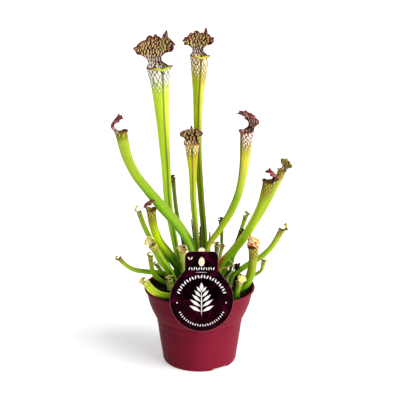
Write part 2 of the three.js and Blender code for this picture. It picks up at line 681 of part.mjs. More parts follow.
function pot() {
  const bowl = turned([[0, 0], ...POT_OUTSIDE, ...POT_INSIDE, [0, POT_FLOOR]], POT_SIDES);
  let solid = toManifold(bowl);
  for (let i = 0; i < NOTCH_COUNT; i += 1) {
    const angle = THREE.MathUtils.degToRad(NOTCH_AT + (360 * i) / NOTCH_COUNT);
    const half = NOTCH_WIDTH / 2;
    const arch = new THREE.Shape();
    arch.moveTo(-half, -GAP);
    arch.lineTo(half, -GAP);
    arch.lineTo(half, 0);
    arch.lineTo(half - NOTCH_SLOPE, NOTCH_HEIGHT);
    arch.lineTo(NOTCH_SLOPE - half, NOTCH_HEIGHT);
    arch.lineTo(-half, 0);
    const depth = BODY_TOP_RADIUS - NOTCH_INSIDE;
    const cutter = new THREE.ExtrudeGeometry(arch, { depth, bevelEnabled: false });
    cutter.rotateX(Math.PI / 2).translate(0, BODY_TOP_RADIUS, 0).rotateZ(angle - Math.PI / 2);
    solid = solid.subtract(toManifold(cutter));
  }
  return fromManifold(solid);
}

/** Height of the mix at a place: broad mounds with finer lumps on them. */
function mixHeight(x, y) {
  const mounds = Math.sin(x * 0.13 + 1.1) * Math.cos(y * 0.11 - 0.4);
  const lumps = 0.6 * Math.sin(x * 0.41 + y * 0.23) * Math.cos(y * 0.47 - x * 0.19);
  return MIX_LEVEL + MIX_LUMPS * (mounds + lumps);
}

function mix() {
  const body = new Body();
  const wall = POT_INSIDE.filter(([, z]) => z < MIX_LEVEL - 3).reverse();
  const ring = (radius, height) => Array.from({ length: MIX_SIDES }, (_, j) => {
    const angle = (TURN * j) / MIX_SIDES;
    const [x, y] = [radius * Math.cos(angle), radius * Math.sin(angle)];
    return new Vector3(x, y, height ?? mixHeight(x, y));
  });
  const rows = wall.map(([radius, height]) => body.row(ring(radius - 1.5 * GAP, height + GAP)));
  [1, 0.84, 0.64, 0.42, 0.2].forEach((share) => rows.push(body.row(ring(MIX_RADIUS * share))));
  rows.slice(1).forEach((row, i) => body.strip(rows[i], row, true));
  body.cap([...rows[0]].reverse(), new Vector3(0, 0, wall[0][1] + GAP));
  body.cap(rows[rows.length - 1], new Vector3(0, 0, mixHeight(0, 0)));

  let solid = toManifold(body.geometry());
  const socket = (x, y, radius, sides) => {
    const hole = new THREE.CylinderGeometry(radius, radius, SOCKET_LENGTH, sides).rotateX(Math.PI / 2);
    hole.translate(x, y, MIX_LEVEL - FOOT_DEPTH - GAP + SOCKET_LENGTH / 2);
    solid = solid.subtract(toManifold(hole));
  };
  LEAVES.forEach(({ foot: [x, y, radius], size }) => {
    const corners = size === SMALL ? 6 : 8;
    socket(x, y, (radius + GAP) / Math.cos(Math.PI / corners), corners);
  });
  STALKS.forEach(({ foot: [x, y], half }) => socket(x, y, (half[1] + GAP) / Math.cos(Math.PI / 4), 4));
  const slot = new THREE.BoxGeometry(STAKE_WIDTH + 2 * GAP, STAKE_THICKNESS + 2 * GAP, SOCKET_LENGTH);
  slot.translate(CARD_X, STAKE_FRONT + STAKE_THICKNESS / 2, STAKE_FOOT - GAP + SOCKET_LENGTH / 2);
  return fromManifold(solid.subtract(toManifold(slot)));
}

// ---- Label ------------------------------------------------------------------------------------

/** Points along an arc in equal steps, its first point included and its last one left to the next line. */
function arc(x, y, radius, from, to, steps) {
  return Array.from({ length: steps }, (_, i) => {
    const angle = THREE.MathUtils.lerp(from, to, i / steps);
    return new THREE.Vector2(x + radius * Math.cos(angle), y + radius * Math.sin(angle));
  });
}

/** The card's outline: a disc with a round-cornered tab on top, filleted where they meet. */
function cardShape() {
  const filletX = TAB_HALF_WIDTH + TAB_FILLET;
  const filletY = Math.sqrt((CARD_RADIUS + TAB_FILLET) ** 2 - filletX ** 2);
  const meet = Math.atan2(filletY, filletX);
  const cornerX = TAB_HALF_WIDTH - TAB_CORNER;
  const cornerY = TAB_TOP - TAB_CORNER;
  const right = Math.PI / 2;
  const card = new THREE.Shape([
    ...arc(0, 0, CARD_RADIUS, meet, -Math.PI - meet, 30),
    ...arc(-filletX, filletY, TAB_FILLET, -meet, 0, 4),
    ...arc(-cornerX, cornerY, TAB_CORNER, 2 * right, right, 5),
    ...arc(cornerX, cornerY, TAB_CORNER, right, 0, 5),
    ...arc(filletX, filletY, TAB_FILLET, 2 * right, 2 * right + meet, 4),
  ]);
  const hole = arc(0, 0, 1, 0, TURN, 16);
  hole.forEach((point) => point.set(HOLE_HALF_WIDTH * point.x, HOLE_UP + HOLE_HALF_HEIGHT * point.y));
  card.holes.push(new THREE.Path(hole));
  return card;
}

function card() {
  const plate = new THREE.ExtrudeGeometry(cardShape(), { depth: CARD_THICKNESS, bevelEnabled: false });
  const { y, z } = cardBack(0);
  return plate.rotateX(Math.PI / 2).rotateX(-CARD_LEAN).translate(CARD_X, y, z);
}

/** A flat strip with a round top and a pointed foot, and the peg that carries the card. */
function stake() {
  const half = STAKE_WIDTH / 2;
  const strip = new THREE.Shape();
  strip.absarc(0, STAKE_TOP - half, half, 0, Math.PI, false);
  strip.lineTo(-half, STAKE_FOOT + 2 * STAKE_WIDTH);
  strip.lineTo(-STAKE_POINT, STAKE_FOOT);
  strip.lineTo(STAKE_POINT, STAKE_FOOT);
  strip.lineTo(half, STAKE_FOOT + 2 * STAKE_WIDTH);
  const flat = new THREE.ExtrudeGeometry(strip, {
    depth: STAKE_THICKNESS, bevelEnabled: false, curveSegments: 8,
  });
  flat.rotateX(Math.PI / 2).translate(CARD_X, STAKE_FRONT + STAKE_THICKNESS, 0);

  const hole = cardBack(HOLE_UP);
  const outline = new THREE.Shape();
  outline.absellipse(0, hole.z, HOLE_HALF_WIDTH - 2 * GAP, HOLE_HALF_HEIGHT - 3 * GAP, 0, TURN, false, 0);
  const reach = STAKE_FRONT - hole.y + CARD_THICKNESS + PEG_AHEAD;
  const peg = new THREE.ExtrudeGeometry(outline, {
    depth: reach + STAKE_THICKNESS / 2, bevelEnabled: false, curveSegments: 8,
  });
  peg.rotateX(Math.PI / 2).translate(CARD_X, STAKE_FRONT + STAKE_THICKNESS / 2, 0);
  return fromManifold(toManifold(flat).add(toManifold(peg)));
}

// ---- The plant --------------------------------------------------------------------------------

const plant = new THREE.Group();
plant.add(named("nursery_pot", pot(), COLOURS.pot, 0.45));
plant.add(named("potting_mix", mix(), COLOURS.mix, 0.95));
LEAVES.forEach((leaf) => plant.add(named(leaf.name, pitcher(leaf), COLOURS.lime, 0.45)));
STALKS.forEach((thin) => plant.add(named(thin.name, stalk(thin), COLOURS.withered, 0.7)));
plant.add(named("label_card", card(), COLOURS.card, 0.5));
plant.add(named("label_stake", stake(), COLOURS.stake, 0.5));

export default plant;
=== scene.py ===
"""Looks of a potted trumpet pitcher plant: pitchers with netted hoods, pot, potting mix, label and stake.

Sizes are in millimetres in the code and in metres in the meshes. +Z is up, the origin is the centre of the
underside of the pot, and the front of the plant faces -Y.
"""

import logging
import math
import random
from dataclasses import dataclass, field, replace
from enum import Enum, auto
from functools import cache
from typing import Any, Callable, Iterable, Sequence

import bpy
from mathutils import Matrix, Vector

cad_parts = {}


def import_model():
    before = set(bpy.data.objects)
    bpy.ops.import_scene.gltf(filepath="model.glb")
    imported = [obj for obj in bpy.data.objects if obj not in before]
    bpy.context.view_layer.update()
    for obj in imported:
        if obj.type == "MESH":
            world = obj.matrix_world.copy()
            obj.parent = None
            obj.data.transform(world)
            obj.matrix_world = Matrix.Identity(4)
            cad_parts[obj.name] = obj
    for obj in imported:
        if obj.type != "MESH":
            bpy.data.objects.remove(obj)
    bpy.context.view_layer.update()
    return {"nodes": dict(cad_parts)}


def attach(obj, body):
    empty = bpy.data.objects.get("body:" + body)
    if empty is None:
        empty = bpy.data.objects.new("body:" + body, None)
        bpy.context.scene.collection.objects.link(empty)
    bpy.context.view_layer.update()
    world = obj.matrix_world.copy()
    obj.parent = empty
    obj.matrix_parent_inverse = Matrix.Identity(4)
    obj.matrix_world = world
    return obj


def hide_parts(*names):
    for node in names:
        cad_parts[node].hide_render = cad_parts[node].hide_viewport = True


log = logging.getLogger("pitcher_plant")
logging.basicConfig(level=logging.INFO, format="%(message)s")

MM = 0.001
TURN = 2 * math.pi
UP = Vector((0.0, 0.0, 1.0))
Pair = tuple[float, float]
Triple = tuple[float, float, float]
Colour = Triple
Piece = bpy.types.Object
Place = Callable[[int, int], Vector]
Map = Callable[[int, int], Pair]

# ---- Sizes that several pieces share ----

RIM_RADIUS = 60.0
MIX_LEVEL = 76.0
MIX_RADIUS = 54.0
FOOT_DEPTH = 12.0  # how deep the leaves stand in the mix, and how far up their feet go straight
COLLAR = 5.0
GAP = 0.3  # air between pieces that touch


def smoothstep(low: float, high: float, x: float) -> float:
    """Eased share of the way from low to high."""
    share = min(1.0, max(0.0, (x - low) / (high - low)))
    return share * share * (3 - 2 * share)


def lerp(low: float, high: float, share: float) -> float:
    """Number at a share of the way from low to high."""
    return low + (high - low) * share


def linear(colour: Colour) -> tuple[float, float, float, float]:
    """Linear colour with alpha for an 8-bit screen colour."""
    shares = (part / 255 for part in colour)
    return (*(s / 12.92 if s <= 0.04045 else ((s + 0.055) / 1.055) ** 2.4 for s in shares), 1.0)


# ---- Mesh work ----

WELD = 1e-6  # points nearer than this are one, in metres
ASIDE = (0.31, 0.17, 0.053)  # place in metres that no two parts of the pot are equally far from


class Select(Enum):
    """What is selected in edit mode, and the list of a mesh that holds it."""

    EDGE = "edges"
    FACE = "polygons"


class Bench:
    """Modelling steps that every piece uses."""

    @staticmethod
    def clear() -> None:
        """Leave nothing selected."""
        if bpy.context.object and bpy.context.object.mode != "OBJECT":
            bpy.ops.object.mode_set(mode="OBJECT")
        bpy.ops.object.select_all(action="DESELECT")

    @staticmethod
    def take(name: str) -> Piece:
        """Name the piece that was just added.

        Args:
            name: its new name.

        Returns:
            The piece.
        """
        piece = bpy.context.object
        piece.name = piece.data.name = name
        return piece

    @staticmethod
    def only(piece: Piece) -> None:
        """Select and activate one piece.

        Args:
            piece: the one.
        """
        Bench.clear()
        piece.select_set(True)
        bpy.context.view_layer.objects.active = piece

    @staticmethod
    def edit(piece: Piece) -> None:
        """Open a piece in edit mode with all of it selected.

        Args:
            piece: the mesh object.
        """
        Bench.only(piece)
        bpy.ops.object.mode_set(mode="EDIT")
        bpy.ops.mesh.select_all(action="SELECT")

    @staticmethod
    def pick(piece: Piece, kind: Select, wanted: Callable[[Any], bool]) -> None:
        """Open a piece in edit mode with only the wanted edges or faces selected.

        Args:
            piece: the mesh object.
            kind: edges or faces.
            wanted: tells whether one of them is to be selected.
        """
        Bench.edit(piece)
        bpy.ops.mesh.select_mode(type=kind.name)
        bpy.ops.mesh.select_all(action="DESELECT")
        bpy.ops.object.mode_set(mode="OBJECT")
        for part in getattr(piece.data, kind.value):
            part.select = bool(wanted(part))
        bpy.ops.object.mode_set(mode="EDIT")

    @staticmethod
    def done() -> None:
        """Go back to object mode."""
        bpy.ops.object.mode_set(mode="OBJECT")

    @staticmethod
    def apply(piece: Piece, kind: str, **settings: Any) -> None:
        """Add a modifier and apply it.

        Args:
            piece: the mesh object.
            kind: the modifier's type.
            **settings: its settings.
        """
        Bench.only(piece)
        modifier = piece.modifiers.new(kind.title(), kind)
        for key, value in settings.items():
            setattr(modifier, key, value)
        bpy.ops.object.modifier_apply(modifier=modifier.name)

    @staticmethod
    def block(name: str, centre: Triple, size: Triple) -> Piece:
        """A box.

        Args:
            name: its name.
            centre: its middle, in millimetres.
            size: its sides.

        Returns:
            The box.
        """
        Bench.clear()
        bpy.ops.mesh.primitive_cube_add(size=1, location=Vector(centre) * MM)
        piece = Bench.take(name)
        piece.scale = Vector(size) * MM
        Bench.settle(piece)
        return piece

    @staticmethod
    def drum(name: str, centre: Triple, radii: Pair, depth: float, sides: int = 64) -> Piece:
        """An upright oval drum.

        Args:
            name: its name.
            centre: its middle, in millimetres.
            radii: its half widths along x and y.
            depth: its height.
            sides: how many it has.

        Returns:
            The drum.
        """
        Bench.clear()
        bpy.ops.mesh.primitive_cylinder_add(vertices=sides, radius=1, depth=1, location=Vector(centre) * MM)
        piece = Bench.take(name)
        piece.scale = Vector((*radii, depth)) * MM
        Bench.settle(piece)
        return piece

    @staticmethod
    def soften(piece: Piece, width: float, segments: int = 2, degrees: float = 50.0) -> None:
        """Round the edges sharper than an angle, to a width in millimetres, with rows of new faces."""
        Bench.apply(piece, "BEVEL", width=width * MM, segments=segments, limit_method="ANGLE",
                    angle_limit=math.radians(degrees))

    @staticmethod
    def cut(piece: Piece, tool: Piece, operation: str = "DIFFERENCE") -> None:
        """Join or cut a piece with another mesh, which is used up."""
        Bench.apply(piece, "BOOLEAN", object=tool, operation=operation, solver="EXACT")
        bpy.data.objects.remove(tool)

    @staticmethod
    def settle(piece: Piece) -> None:
        """Put the piece's place, turn and scale into its mesh."""
        Bench.only(piece)
        bpy.ops.object.transform_apply(location=True, rotation=True, scale=True)

    @staticmethod
    def weld(piece: Piece) -> None:
        """Merge doubled points and turn every face outwards.

        Args:
            piece: the mesh object.
        """
        Bench.edit(piece)
        bpy.ops.mesh.remove_doubles(threshold=WELD)
        bpy.ops.mesh.select_all(action="SELECT")
        bpy.ops.mesh.normals_make_consistent(inside=False)
        Bench.done()

    @staticmethod
    def order(piece: Piece) -> None:
        """Sort points, edges and faces, which extruding leaves in another order in each run.

        Args:
            piece: the mesh object.
        """
        cursor = bpy.context.scene.cursor
        cursor.location = ASIDE
        Bench.edit(piece)
        bpy.ops.mesh.sort_elements(type="CURSOR_DISTANCE", elements={"VERT", "EDGE", "FACE"})
        Bench.done()
        cursor.location = (0, 0, 0)

    @staticmethod
    def join(pieces: Sequence[Piece]) -> Piece:
        """Join pieces into the first one.

        Args:
            pieces: what is joined.

        Returns:
            The first piece.
        """
        Bench.only(pieces[0])
        for piece in pieces[1:]:
            piece.select_set(True)
        bpy.ops.object.join()
        return bpy.context.object

    @staticmethod
    def strip_maps(piece: Piece) -> None:
        """Take a mesh's UV maps away."""
        while piece.data.uv_layers:
            piece.data.uv_layers.remove(piece.data.uv_layers[0])

    @staticmethod
    def dress(piece: Piece, name: str, material: bpy.types.Material, degrees: float | None = None) -> None:
        """Name a piece and give it its only material.

        Args:
            piece: the mesh object.
            name: its name.
            material: its material.
            degrees: edges sharper than this stay sharp; without it the shading isn't touched.
        """
        if degrees:
            Bench.only(piece)
            bpy.ops.object.shade_smooth_by_angle(angle=math.radians(degrees))
        piece.name = piece.data.name = name
        piece.data.materials.clear()
        piece.data.materials.append(material)

    @staticmethod
    def hand_in(piece: Piece, node: str | None, slot: str) -> None:
        """Let the piece ride on the plant and stand for its solid.

        Args:
            piece: the finished mesh.
            node: the solid that it stands for, or None for a piece that is only dressing.
            slot: not used.
        """
        Bench.clear()
        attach(piece, "root")
        if node:
            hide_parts(node)
        log.info("%s: %d faces", piece.name, len(piece.data.polygons))


@dataclass
class Sheet:
    """A grid of quads that is laid out flat, shaped point by point and welded at its seams."""

    name: str
    columns: int
    rows: int

    def build(self, place: Place, maps: dict[str, Map] | None = None) -> Piece:
        """Make the mesh.

        Args:
            place: the point of a column and row, in millimetres.
            maps: for each UV map, its two numbers at a column and row; without them the column and row.

        Returns:
            The welded mesh object.
        """
        Bench.clear()
        bpy.ops.mesh.primitive_grid_add(x_subdivisions=self.columns, y_subdivisions=self.rows, size=1)
        piece = Bench.take(self.name)
        mesh = piece.data
        spots = [(round((v.co.x + 0.5) * self.columns), round((v.co.y + 0.5) * self.rows))
                 for v in mesh.vertices]
        corners = [loop.vertex_index for loop in mesh.loops]
        Bench.strip_maps(piece)
        for name, at in (maps or {"run": lambda i, j: (i, j)}).items():
            known = {spot: at(*spot) for spot in spots}
            layer = mesh.uv_layers.new(name=name)
            layer.data.foreach_set("uv", [x for index in corners for x in known[spots[index]]])
        for vertex, spot in zip(mesh.vertices, spots):
            vertex.co = place(*spot) * MM
        Bench.weld(piece)
        return piece


# ---- Shader work ----

# Numbers of a Mix node's sockets and output when it mixes colours.
MIX_SHARE = 0
MIX_LOW = 6
MIX_HIGH = 7
MIX_COLOUR = 2


class Shade:
    """A number in a material that Python's operators work on, each one as a Math node."""

    def __init__(self, recipe: "Recipe", socket: Any) -> None:
        """Wrap the output socket that gives the number, in a recipe's material."""
        self.recipe = recipe
        self.socket = socket

    def math(self, operation: str, *others: Any) -> "Shade":
        """A Math node with this number first.

        Args:
            operation: what the node works out.
            *others: its other numbers.

        Returns:
            The result.
        """
        sockets = dict(enumerate((self, *others)))
        node = self.recipe.node("ShaderNodeMath", {"operation": operation}, sockets)
        return Shade(self.recipe, node.outputs[0])

    def __add__(self, other: Any) -> "Shade":
        """Sum."""
        return self.math("ADD", other)

    __radd__ = __add__

    def __sub__(self, other: Any) -> "Shade":
        """Difference."""
        return self.math("SUBTRACT", other)

    def __rsub__(self, other: float) -> "Shade":
        """A number less this one."""
        return (self * -1) + other

    def __mul__(self, other: Any) -> "Shade":
        """Product."""
        return self.math("MULTIPLY", other)

    __rmul__ = __mul__

    def __pow__(self, other: Any) -> "Shade":
        """Power."""
        return self.math("POWER", other)

    def __abs__(self) -> "Shade":
        """Absolute value."""
        return self.math("ABSOLUTE")

    def fract(self) -> "Shade":
        """Part after the point."""
        return self.math("FRACT")

    def most(self, other: Any) -> "Shade":
        """Greater of two."""
        return self.math("MAXIMUM", other)

    def step(self, low: Any, high: Any) -> "Shade":
        """Eased 0 to 1 from low to high; with low above high it falls instead.

        Args:
            low: where it starts to rise.
            high: where it is 1.

        Returns:
            The share.
        """
        settings = {"interpolation_type": "SMOOTHSTEP"}
        falls = isinstance(low, float) and isinstance(high, float) and low > high
        ends = (high, low) if falls else (low, high)
        node = self.recipe.node("ShaderNodeMapRange", settings,
                                {"Value": self, "From Min": ends[0], "From Max": ends[1]})
        eased = Shade(self.recipe, node.outputs[0])
        return 1 - eased if falls else eased


class Recipe:
    """One node-based material."""

    def __init__(self, name: str) -> None:
        """Start a material with a Principled shader.

        Args:
            name: the material's name.
        """
        self.material = bpy.data.materials.new(name)
        self.material.use_nodes = True
        self.tree = self.material.node_tree
        self.tree.nodes.clear()
        self.shader = self.tree.nodes.new("ShaderNodeBsdfPrincipled")
        output = self.tree.nodes.new("ShaderNodeOutputMaterial")
        self.tree.links.new(self.shader.outputs[0], output.inputs["Surface"])

    def feed(self, node: Any, sockets: dict[Any, Any]) -> None:
        """Link or set a node's sockets.

        Args:
            node: the node.
            sockets: values or links, by the sockets' names or numbers.
        """
        for key, value in sockets.items():
            socket = node.inputs[key]
            value = value.socket if isinstance(value, Shade) else value
            if isinstance(value, bpy.types.NodeSocket):
                self.tree.links.new(value, socket)
            else:
                socket.default_value = value

    def node(self, kind: str, settings: dict[str, Any], sockets: dict[Any, Any]) -> Any:
        """Add a node.

        Args:
            kind: the node's type.
            settings: its own settings; "stops" fills a colour ramp with (place, colour) pairs.
            sockets: values or links of its sockets.

        Returns:
            The node.
        """
        node = self.tree.nodes.new(kind)
        for key, value in settings.items():
            if key == "stops":
                elements = node.color_ramp.elements
                while len(elements) < len(value):
                    elements.new(0.5)
                for element, (place, colour) in zip(elements, value):
                    element.position = place
                    element.color = linear(colour)
            else:
                setattr(node, key, value)
        self.feed(node, sockets)
        return node

    def uv(self, name: str) -> Any:
        """Vector of the piece's own UV map."""
        return self.node("ShaderNodeUVMap", {"uv_map": name}, {}).outputs[0]

    def here(self, scale: Triple = (1.0, 1.0, 1.0)) -> Any:
        """Object coordinates in millimetres.

        Args:
            scale: what they are multiplied by along x, y and z.

        Returns:
            Their vector.
        """
        at = self.node("ShaderNodeTexCoord", {}, {}).outputs["Object"]
        stretch = tuple(1000.0 * part for part in scale)
        return self.node("ShaderNodeMapping", {}, {"Vector": at, "Scale": stretch}).outputs[0]

    def split(self, vector: Any) -> tuple[Shade, Shade, Shade]:
        """The three numbers of a vector."""
        node = self.node("ShaderNodeSeparateXYZ", {}, {0: vector})
        return tuple(Shade(self, output) for output in node.outputs)

    def merge(self, x: Any, y: Any, z: Any = 0.0) -> Any:
        """A vector of three numbers."""
        return self.node("ShaderNodeCombineXYZ", {}, {0: x, 1: y, 2: z}).outputs[0]

    def noise(self, at: Any, scale: float, detail: float, rough: float) -> Shade:
        """Soft noise, 0 to 1: waves to a unit of its vector, number of finer layers and their strength."""
        sockets = {"Vector": at, "Scale": scale, "Detail": detail, "Roughness": rough}
        return Shade(self, self.node("ShaderNodeTexNoise", {}, sockets).outputs[0])

    def cells(self, scale: float) -> Any:
        """Voronoi node in the piece's own space, with so many uneven cells to a millimetre."""
        sockets = {"Vector": self.here(), "Scale": scale, "Randomness": 0.9}
        return self.node("ShaderNodeTexVoronoi", {"feature": "F1"}, sockets)

    def blend(self, share: Any, low: Any, high: Any) -> Any:
        """Colour that goes from one to another.

        Args:
            share: 0 for the first and 1 for the second.
            low: the first, as a link or as an 8-bit screen colour.
            high: the second.

        Returns:
            The colour.
        """
        low, high = (linear(c) if isinstance(c, tuple) else c for c in (low, high))
        settings = {"data_type": "RGBA", "clamp_factor": True}
        sockets = {MIX_SHARE: share, MIX_LOW: low, MIX_HIGH: high}
        return self.node("ShaderNodeMix", settings, sockets).outputs[MIX_COLOUR]

    def ramp(self, value: Any, stops: Sequence[tuple[float, Colour]]) -> Any:
        """Colour from a ramp."""
        return self.node("ShaderNodeValToRGB", {"stops": stops}, {0: value}).outputs[0]

    def dim(self, colour: Any, share: Any) -> Any:
        """Colour with its brightness multiplied by a number."""
        sockets = {0: colour, 1: self.merge(share, share, share)}
        return self.node("ShaderNodeVectorMath", {"operation": "MULTIPLY"}, sockets).outputs[0]

    def bump(self, height: Any, distance: float, strength: float) -> Any:
        """Normal of a relief, from its height in units of a distance in metres."""
        sockets = {"Height": height, "Distance": distance, "Strength": strength}
        return self.node("ShaderNodeBump", {}, sockets).outputs[0]

    def finish(self, **sockets: Any) -> bpy.types.Material:
        """The material, once its shader's sockets are fed, named with underscores for spaces."""
        self.feed(self.shader, {key.replace("_", " "): value for key, value in sockets.items()})
        return self.material


# ---- Finishes ----

# Two noises bend the net of veins: waves to a cell or millimetre, and how far they move it, in cells.
WANDER_SCALE = 0.5
WANDER = 1.3
DRIFT_SCALE = 0.13
DRIFT = 1.6

# Ribs and bands of the tube, in waves to a cell across and along, and patches, in waves to a millimetre.
RIBS = (2.0, 0.08)
BANDS = (0.5, 0.06)
PATCH_SCALE = 0.035
TONE_SHIFT = 0.45  # how far they move the tube's gradient, and how much they lighten it
TONE_LIGHT = 1.15
FOOT_FADE = 0.32  # way from the foot's green to the middle's, and where the top's colour is reached
TOP_FROM = 0.9

# Ways up the leaf, 0 to 1 on its tube and 1 to 2 on its hood.
WARM_UP = (0.4, 0.8)
HOOD_FROM = (1.0, 1.06)
FAN_FROM = (1.22, 1.5)
FRECKLES_UP = (0.5, 0.95)
# Where the painted shade line down the wing begins and where it is full.
WING_SHADE_UP = (0.72, 0.96)
ROOT_DOWN = (0.27, 0.18)


@dataclass(frozen=True)
class LeafFinish:
    """Skin of a pitcher: gradient of its tube, net of veins, pale windows, hood, lip and wing.

    Reaches are depths below the mouth, in mouth radii. Widths of veins are in cells of the net. The trace is
    how plainly the veins go on below their reach.
    """

    name: str
    foot: Colour = (142, 192, 40)
    middle: Colour = (174, 216, 46)
    top: Colour = (196, 220, 48)
    warm: Colour = (206, 198, 92)
    window: Colour = (232, 230, 212)
    neck: Colour = (226, 218, 204)
    foot_end: float = 0.08
    window_reach: float = 3.5
    tube_vein: Colour = (80, 44, 38)
    vein_reach: float = 2.2
    hood: Colour = (230, 210, 136)
    hood_vein: Colour = (78, 20, 26)
    edge: Colour = (122, 44, 50)
    vein_width: float = 0.09
    hood_width: float = 0.17
    lip: Colour = (186, 204, 44)
    lip_ends: Colour = (128, 70, 56)
    seam: Colour = (132, 112, 58)
    # Dark green of the painted shade line down the wing's upper part.
    wing_shade: Colour = (44, 80, 12)
    root: Colour = (66, 96, 22)
    seam_share: float = 0.8
    warm_share: float = 0.15
    speckle: float = 0.0
    trace: float = 0.0

    def gap(self, recipe: Recipe, net: Any, drift: Shade) -> Shade:
        """Distance from the veins: two sets of slanting lines leave long rounded cells between them.

        Args:
            recipe: the material.
            net: place in the net, in cells.
            drift: the noise that moves the two sets apart.

        Returns:
            The distance, in cells.
        """
        u, v, _ = recipe.split(net)
        wander = recipe.noise(net, WANDER_SCALE, 2.0, 0.5)
        squares = []
        for way in (1.0, -1.0):
            slant = u + v * way + (wander - 0.5) * WANDER + (drift - 0.5) * (DRIFT * way)
            off = slant.fract() - 0.5
            squares.append(off * off)
        return 0.5 - (squares[0] * squares[0] + squares[1] * squares[1]) ** 0.25

    def material(self) -> bpy.types.Material:
        """Build the material.

        Returns:
            The leaf's material.
        """
        recipe = Recipe(self.name)
        net, run, rim, deep = (recipe.uv(name) for name in ("net", "run", "rim", "deep"))
        along, ridge, _ = recipe.split(run)
        lip, ends, _ = recipe.split(rim)
        depth, turned, _ = recipe.split(deep)
        u, v, _ = recipe.split(net)
        drift = recipe.noise(recipe.here(), DRIFT_SCALE, 2.0, 0.5)
        gap = self.gap(recipe, net, drift)

        # Tube: ribs, bands and patches of yellow and green, and a net that fades downwards.
        rib = recipe.noise(recipe.merge(u * RIBS[0], v * RIBS[1]), 1.0, 3.0, 0.6)
        band = recipe.noise(recipe.merge(u * BANDS[0], v * BANDS[1]), 1.0, 2.0, 0.5)
        patch = recipe.noise(recipe.here(), PATCH_SCALE, 3.0, 0.6)
        tone = (rib - 0.5) * 0.8 + (band - 0.5) * 0.5 + (patch - 0.5) * 0.3
        stops = (
            (self.foot_end, self.foot),
            (self.foot_end + FOOT_FADE, self.middle),
            (TOP_FROM, self.top),
        )
        tube = recipe.ramp(along + tone * TONE_SHIFT, stops)
        tube = recipe.dim(tube, tone * TONE_LIGHT + 1.0)
        side = turned.step(0.015, 0.12) * along.step(*WARM_UP) * self.warm_share
        tube = recipe.blend(side * (0.5 + rib), tube, self.warm)
        faint = (1 - gap.step(0.02, 0.12)) * depth.step(8.0, 2.0) * (0.3 + 0.35 * self.trace)
        faint_vein = recipe.blend(side.most(self.trace), self.foot, self.tube_vein)
        tube = recipe.blend(faint, tube, faint_vein)

        # Windows between the veins, which close into the green with depth.
        wide = depth.step(0.6, self.window_reach) * 0.5 + self.vein_width
        vein = 1 - (gap - wide - (patch - 0.5) * 0.12).step(-0.04, 0.05)
        tube_vein = recipe.blend(depth.step(0.2, self.vein_reach), self.tube_vein, tube)
        window = recipe.blend(depth.step(1.3, self.window_reach), self.window, tube)
        tube_skin = recipe.blend(vein, window, tube_vein)

        # Hood: a pale netted neck that opens into a fan with thick veins and a dark margin.
        on_hood = along.step(*HOOD_FROM)
        fan = along.step(*FAN_FROM)
        pale = recipe.blend(fan, self.neck, self.hood)
        wash = ((patch - 0.42) * 0.7 + ridge.step(0.7, 1.0) * 0.25) * fan
        pale = recipe.blend(wash, pale, self.hood_vein)
        beside = gap - self.hood_width - 0.04 + fan * 0.04 - (drift - 0.5) * 0.14
        strands = 1 - beside.step(-0.03, 0.03)
        hood_skin = recipe.blend(strands, pale, self.hood_vein)
        hood_skin = recipe.blend(ridge.step(0.945, 0.985) * fan, hood_skin, self.edge)
        skin = recipe.blend(on_hood, tube_skin, hood_skin)

        # Freckles, the wing with its painted shade line, and the rolled lip.
        on_tube = 1 - on_hood
        freckles = Shade(recipe, recipe.cells(0.9).outputs["Distance"])
        freckle = freckles.step(0.34, 0.2) * along.step(*FRECKLES_UP) * on_tube * self.speckle
        skin = recipe.blend(freckle, skin, self.tube_vein)
        # The wing and the strip beside it: the wing's own colour lower down, a painted shade line in dark
        # green towards the top.
        wing = ridge.step(0.1, 0.8).most(abs(turned).step(0.03, 0.0)) * on_tube * (1 - lip.step(0.0, 0.3))
        fin = recipe.blend(along.step(*WING_SHADE_UP), self.seam, self.wing_shade)
        fin = recipe.blend(along.step(*ROOT_DOWN), fin, self.root)
        skin = recipe.blend(wing * self.seam_share, skin, fin)
        roll = recipe.blend(ends.step(0.1, 0.6), self.lip, self.lip_ends)
        skin = recipe.blend(lip.step(0.3, 0.6), skin, roll)
        height = vein.most(strands * on_hood) * 0.6 + rib * 0.6
        return recipe.finish(
            Base_Color=skin,
            Roughness=(patch - 0.5) * 0.16 + vein * 0.05 + 0.42,
            Specular_IOR_Level=0.06,
            Normal=recipe.bump(height, 0.00035, 0.7),
        )


@dataclass(frozen=True)
class DryFinish:
    """Withered leaf: fibrous, blotched and matte."""

    name: str
    light: Colour
    dark: Colour

    def material(self) -> bpy.types.Material:
        """Build the material.

        Returns:
            The leaf's material.
        """
        recipe = Recipe(self.name)
        fibre = recipe.noise(recipe.here((1.4, 1.4, 0.16)), 0.9, 4.0, 0.6)
        blot = recipe.noise(recipe.here(), 0.16, 3.0, 0.6)
        colour = recipe.blend((fibre * 0.6 + blot * 0.7).step(0.45, 0.8), self.dark, self.light)
        return recipe.finish(Base_Color=colour, Roughness=0.7 + blot * 0.15,
                             Normal=recipe.bump(fibre, 0.0004, 0.8))


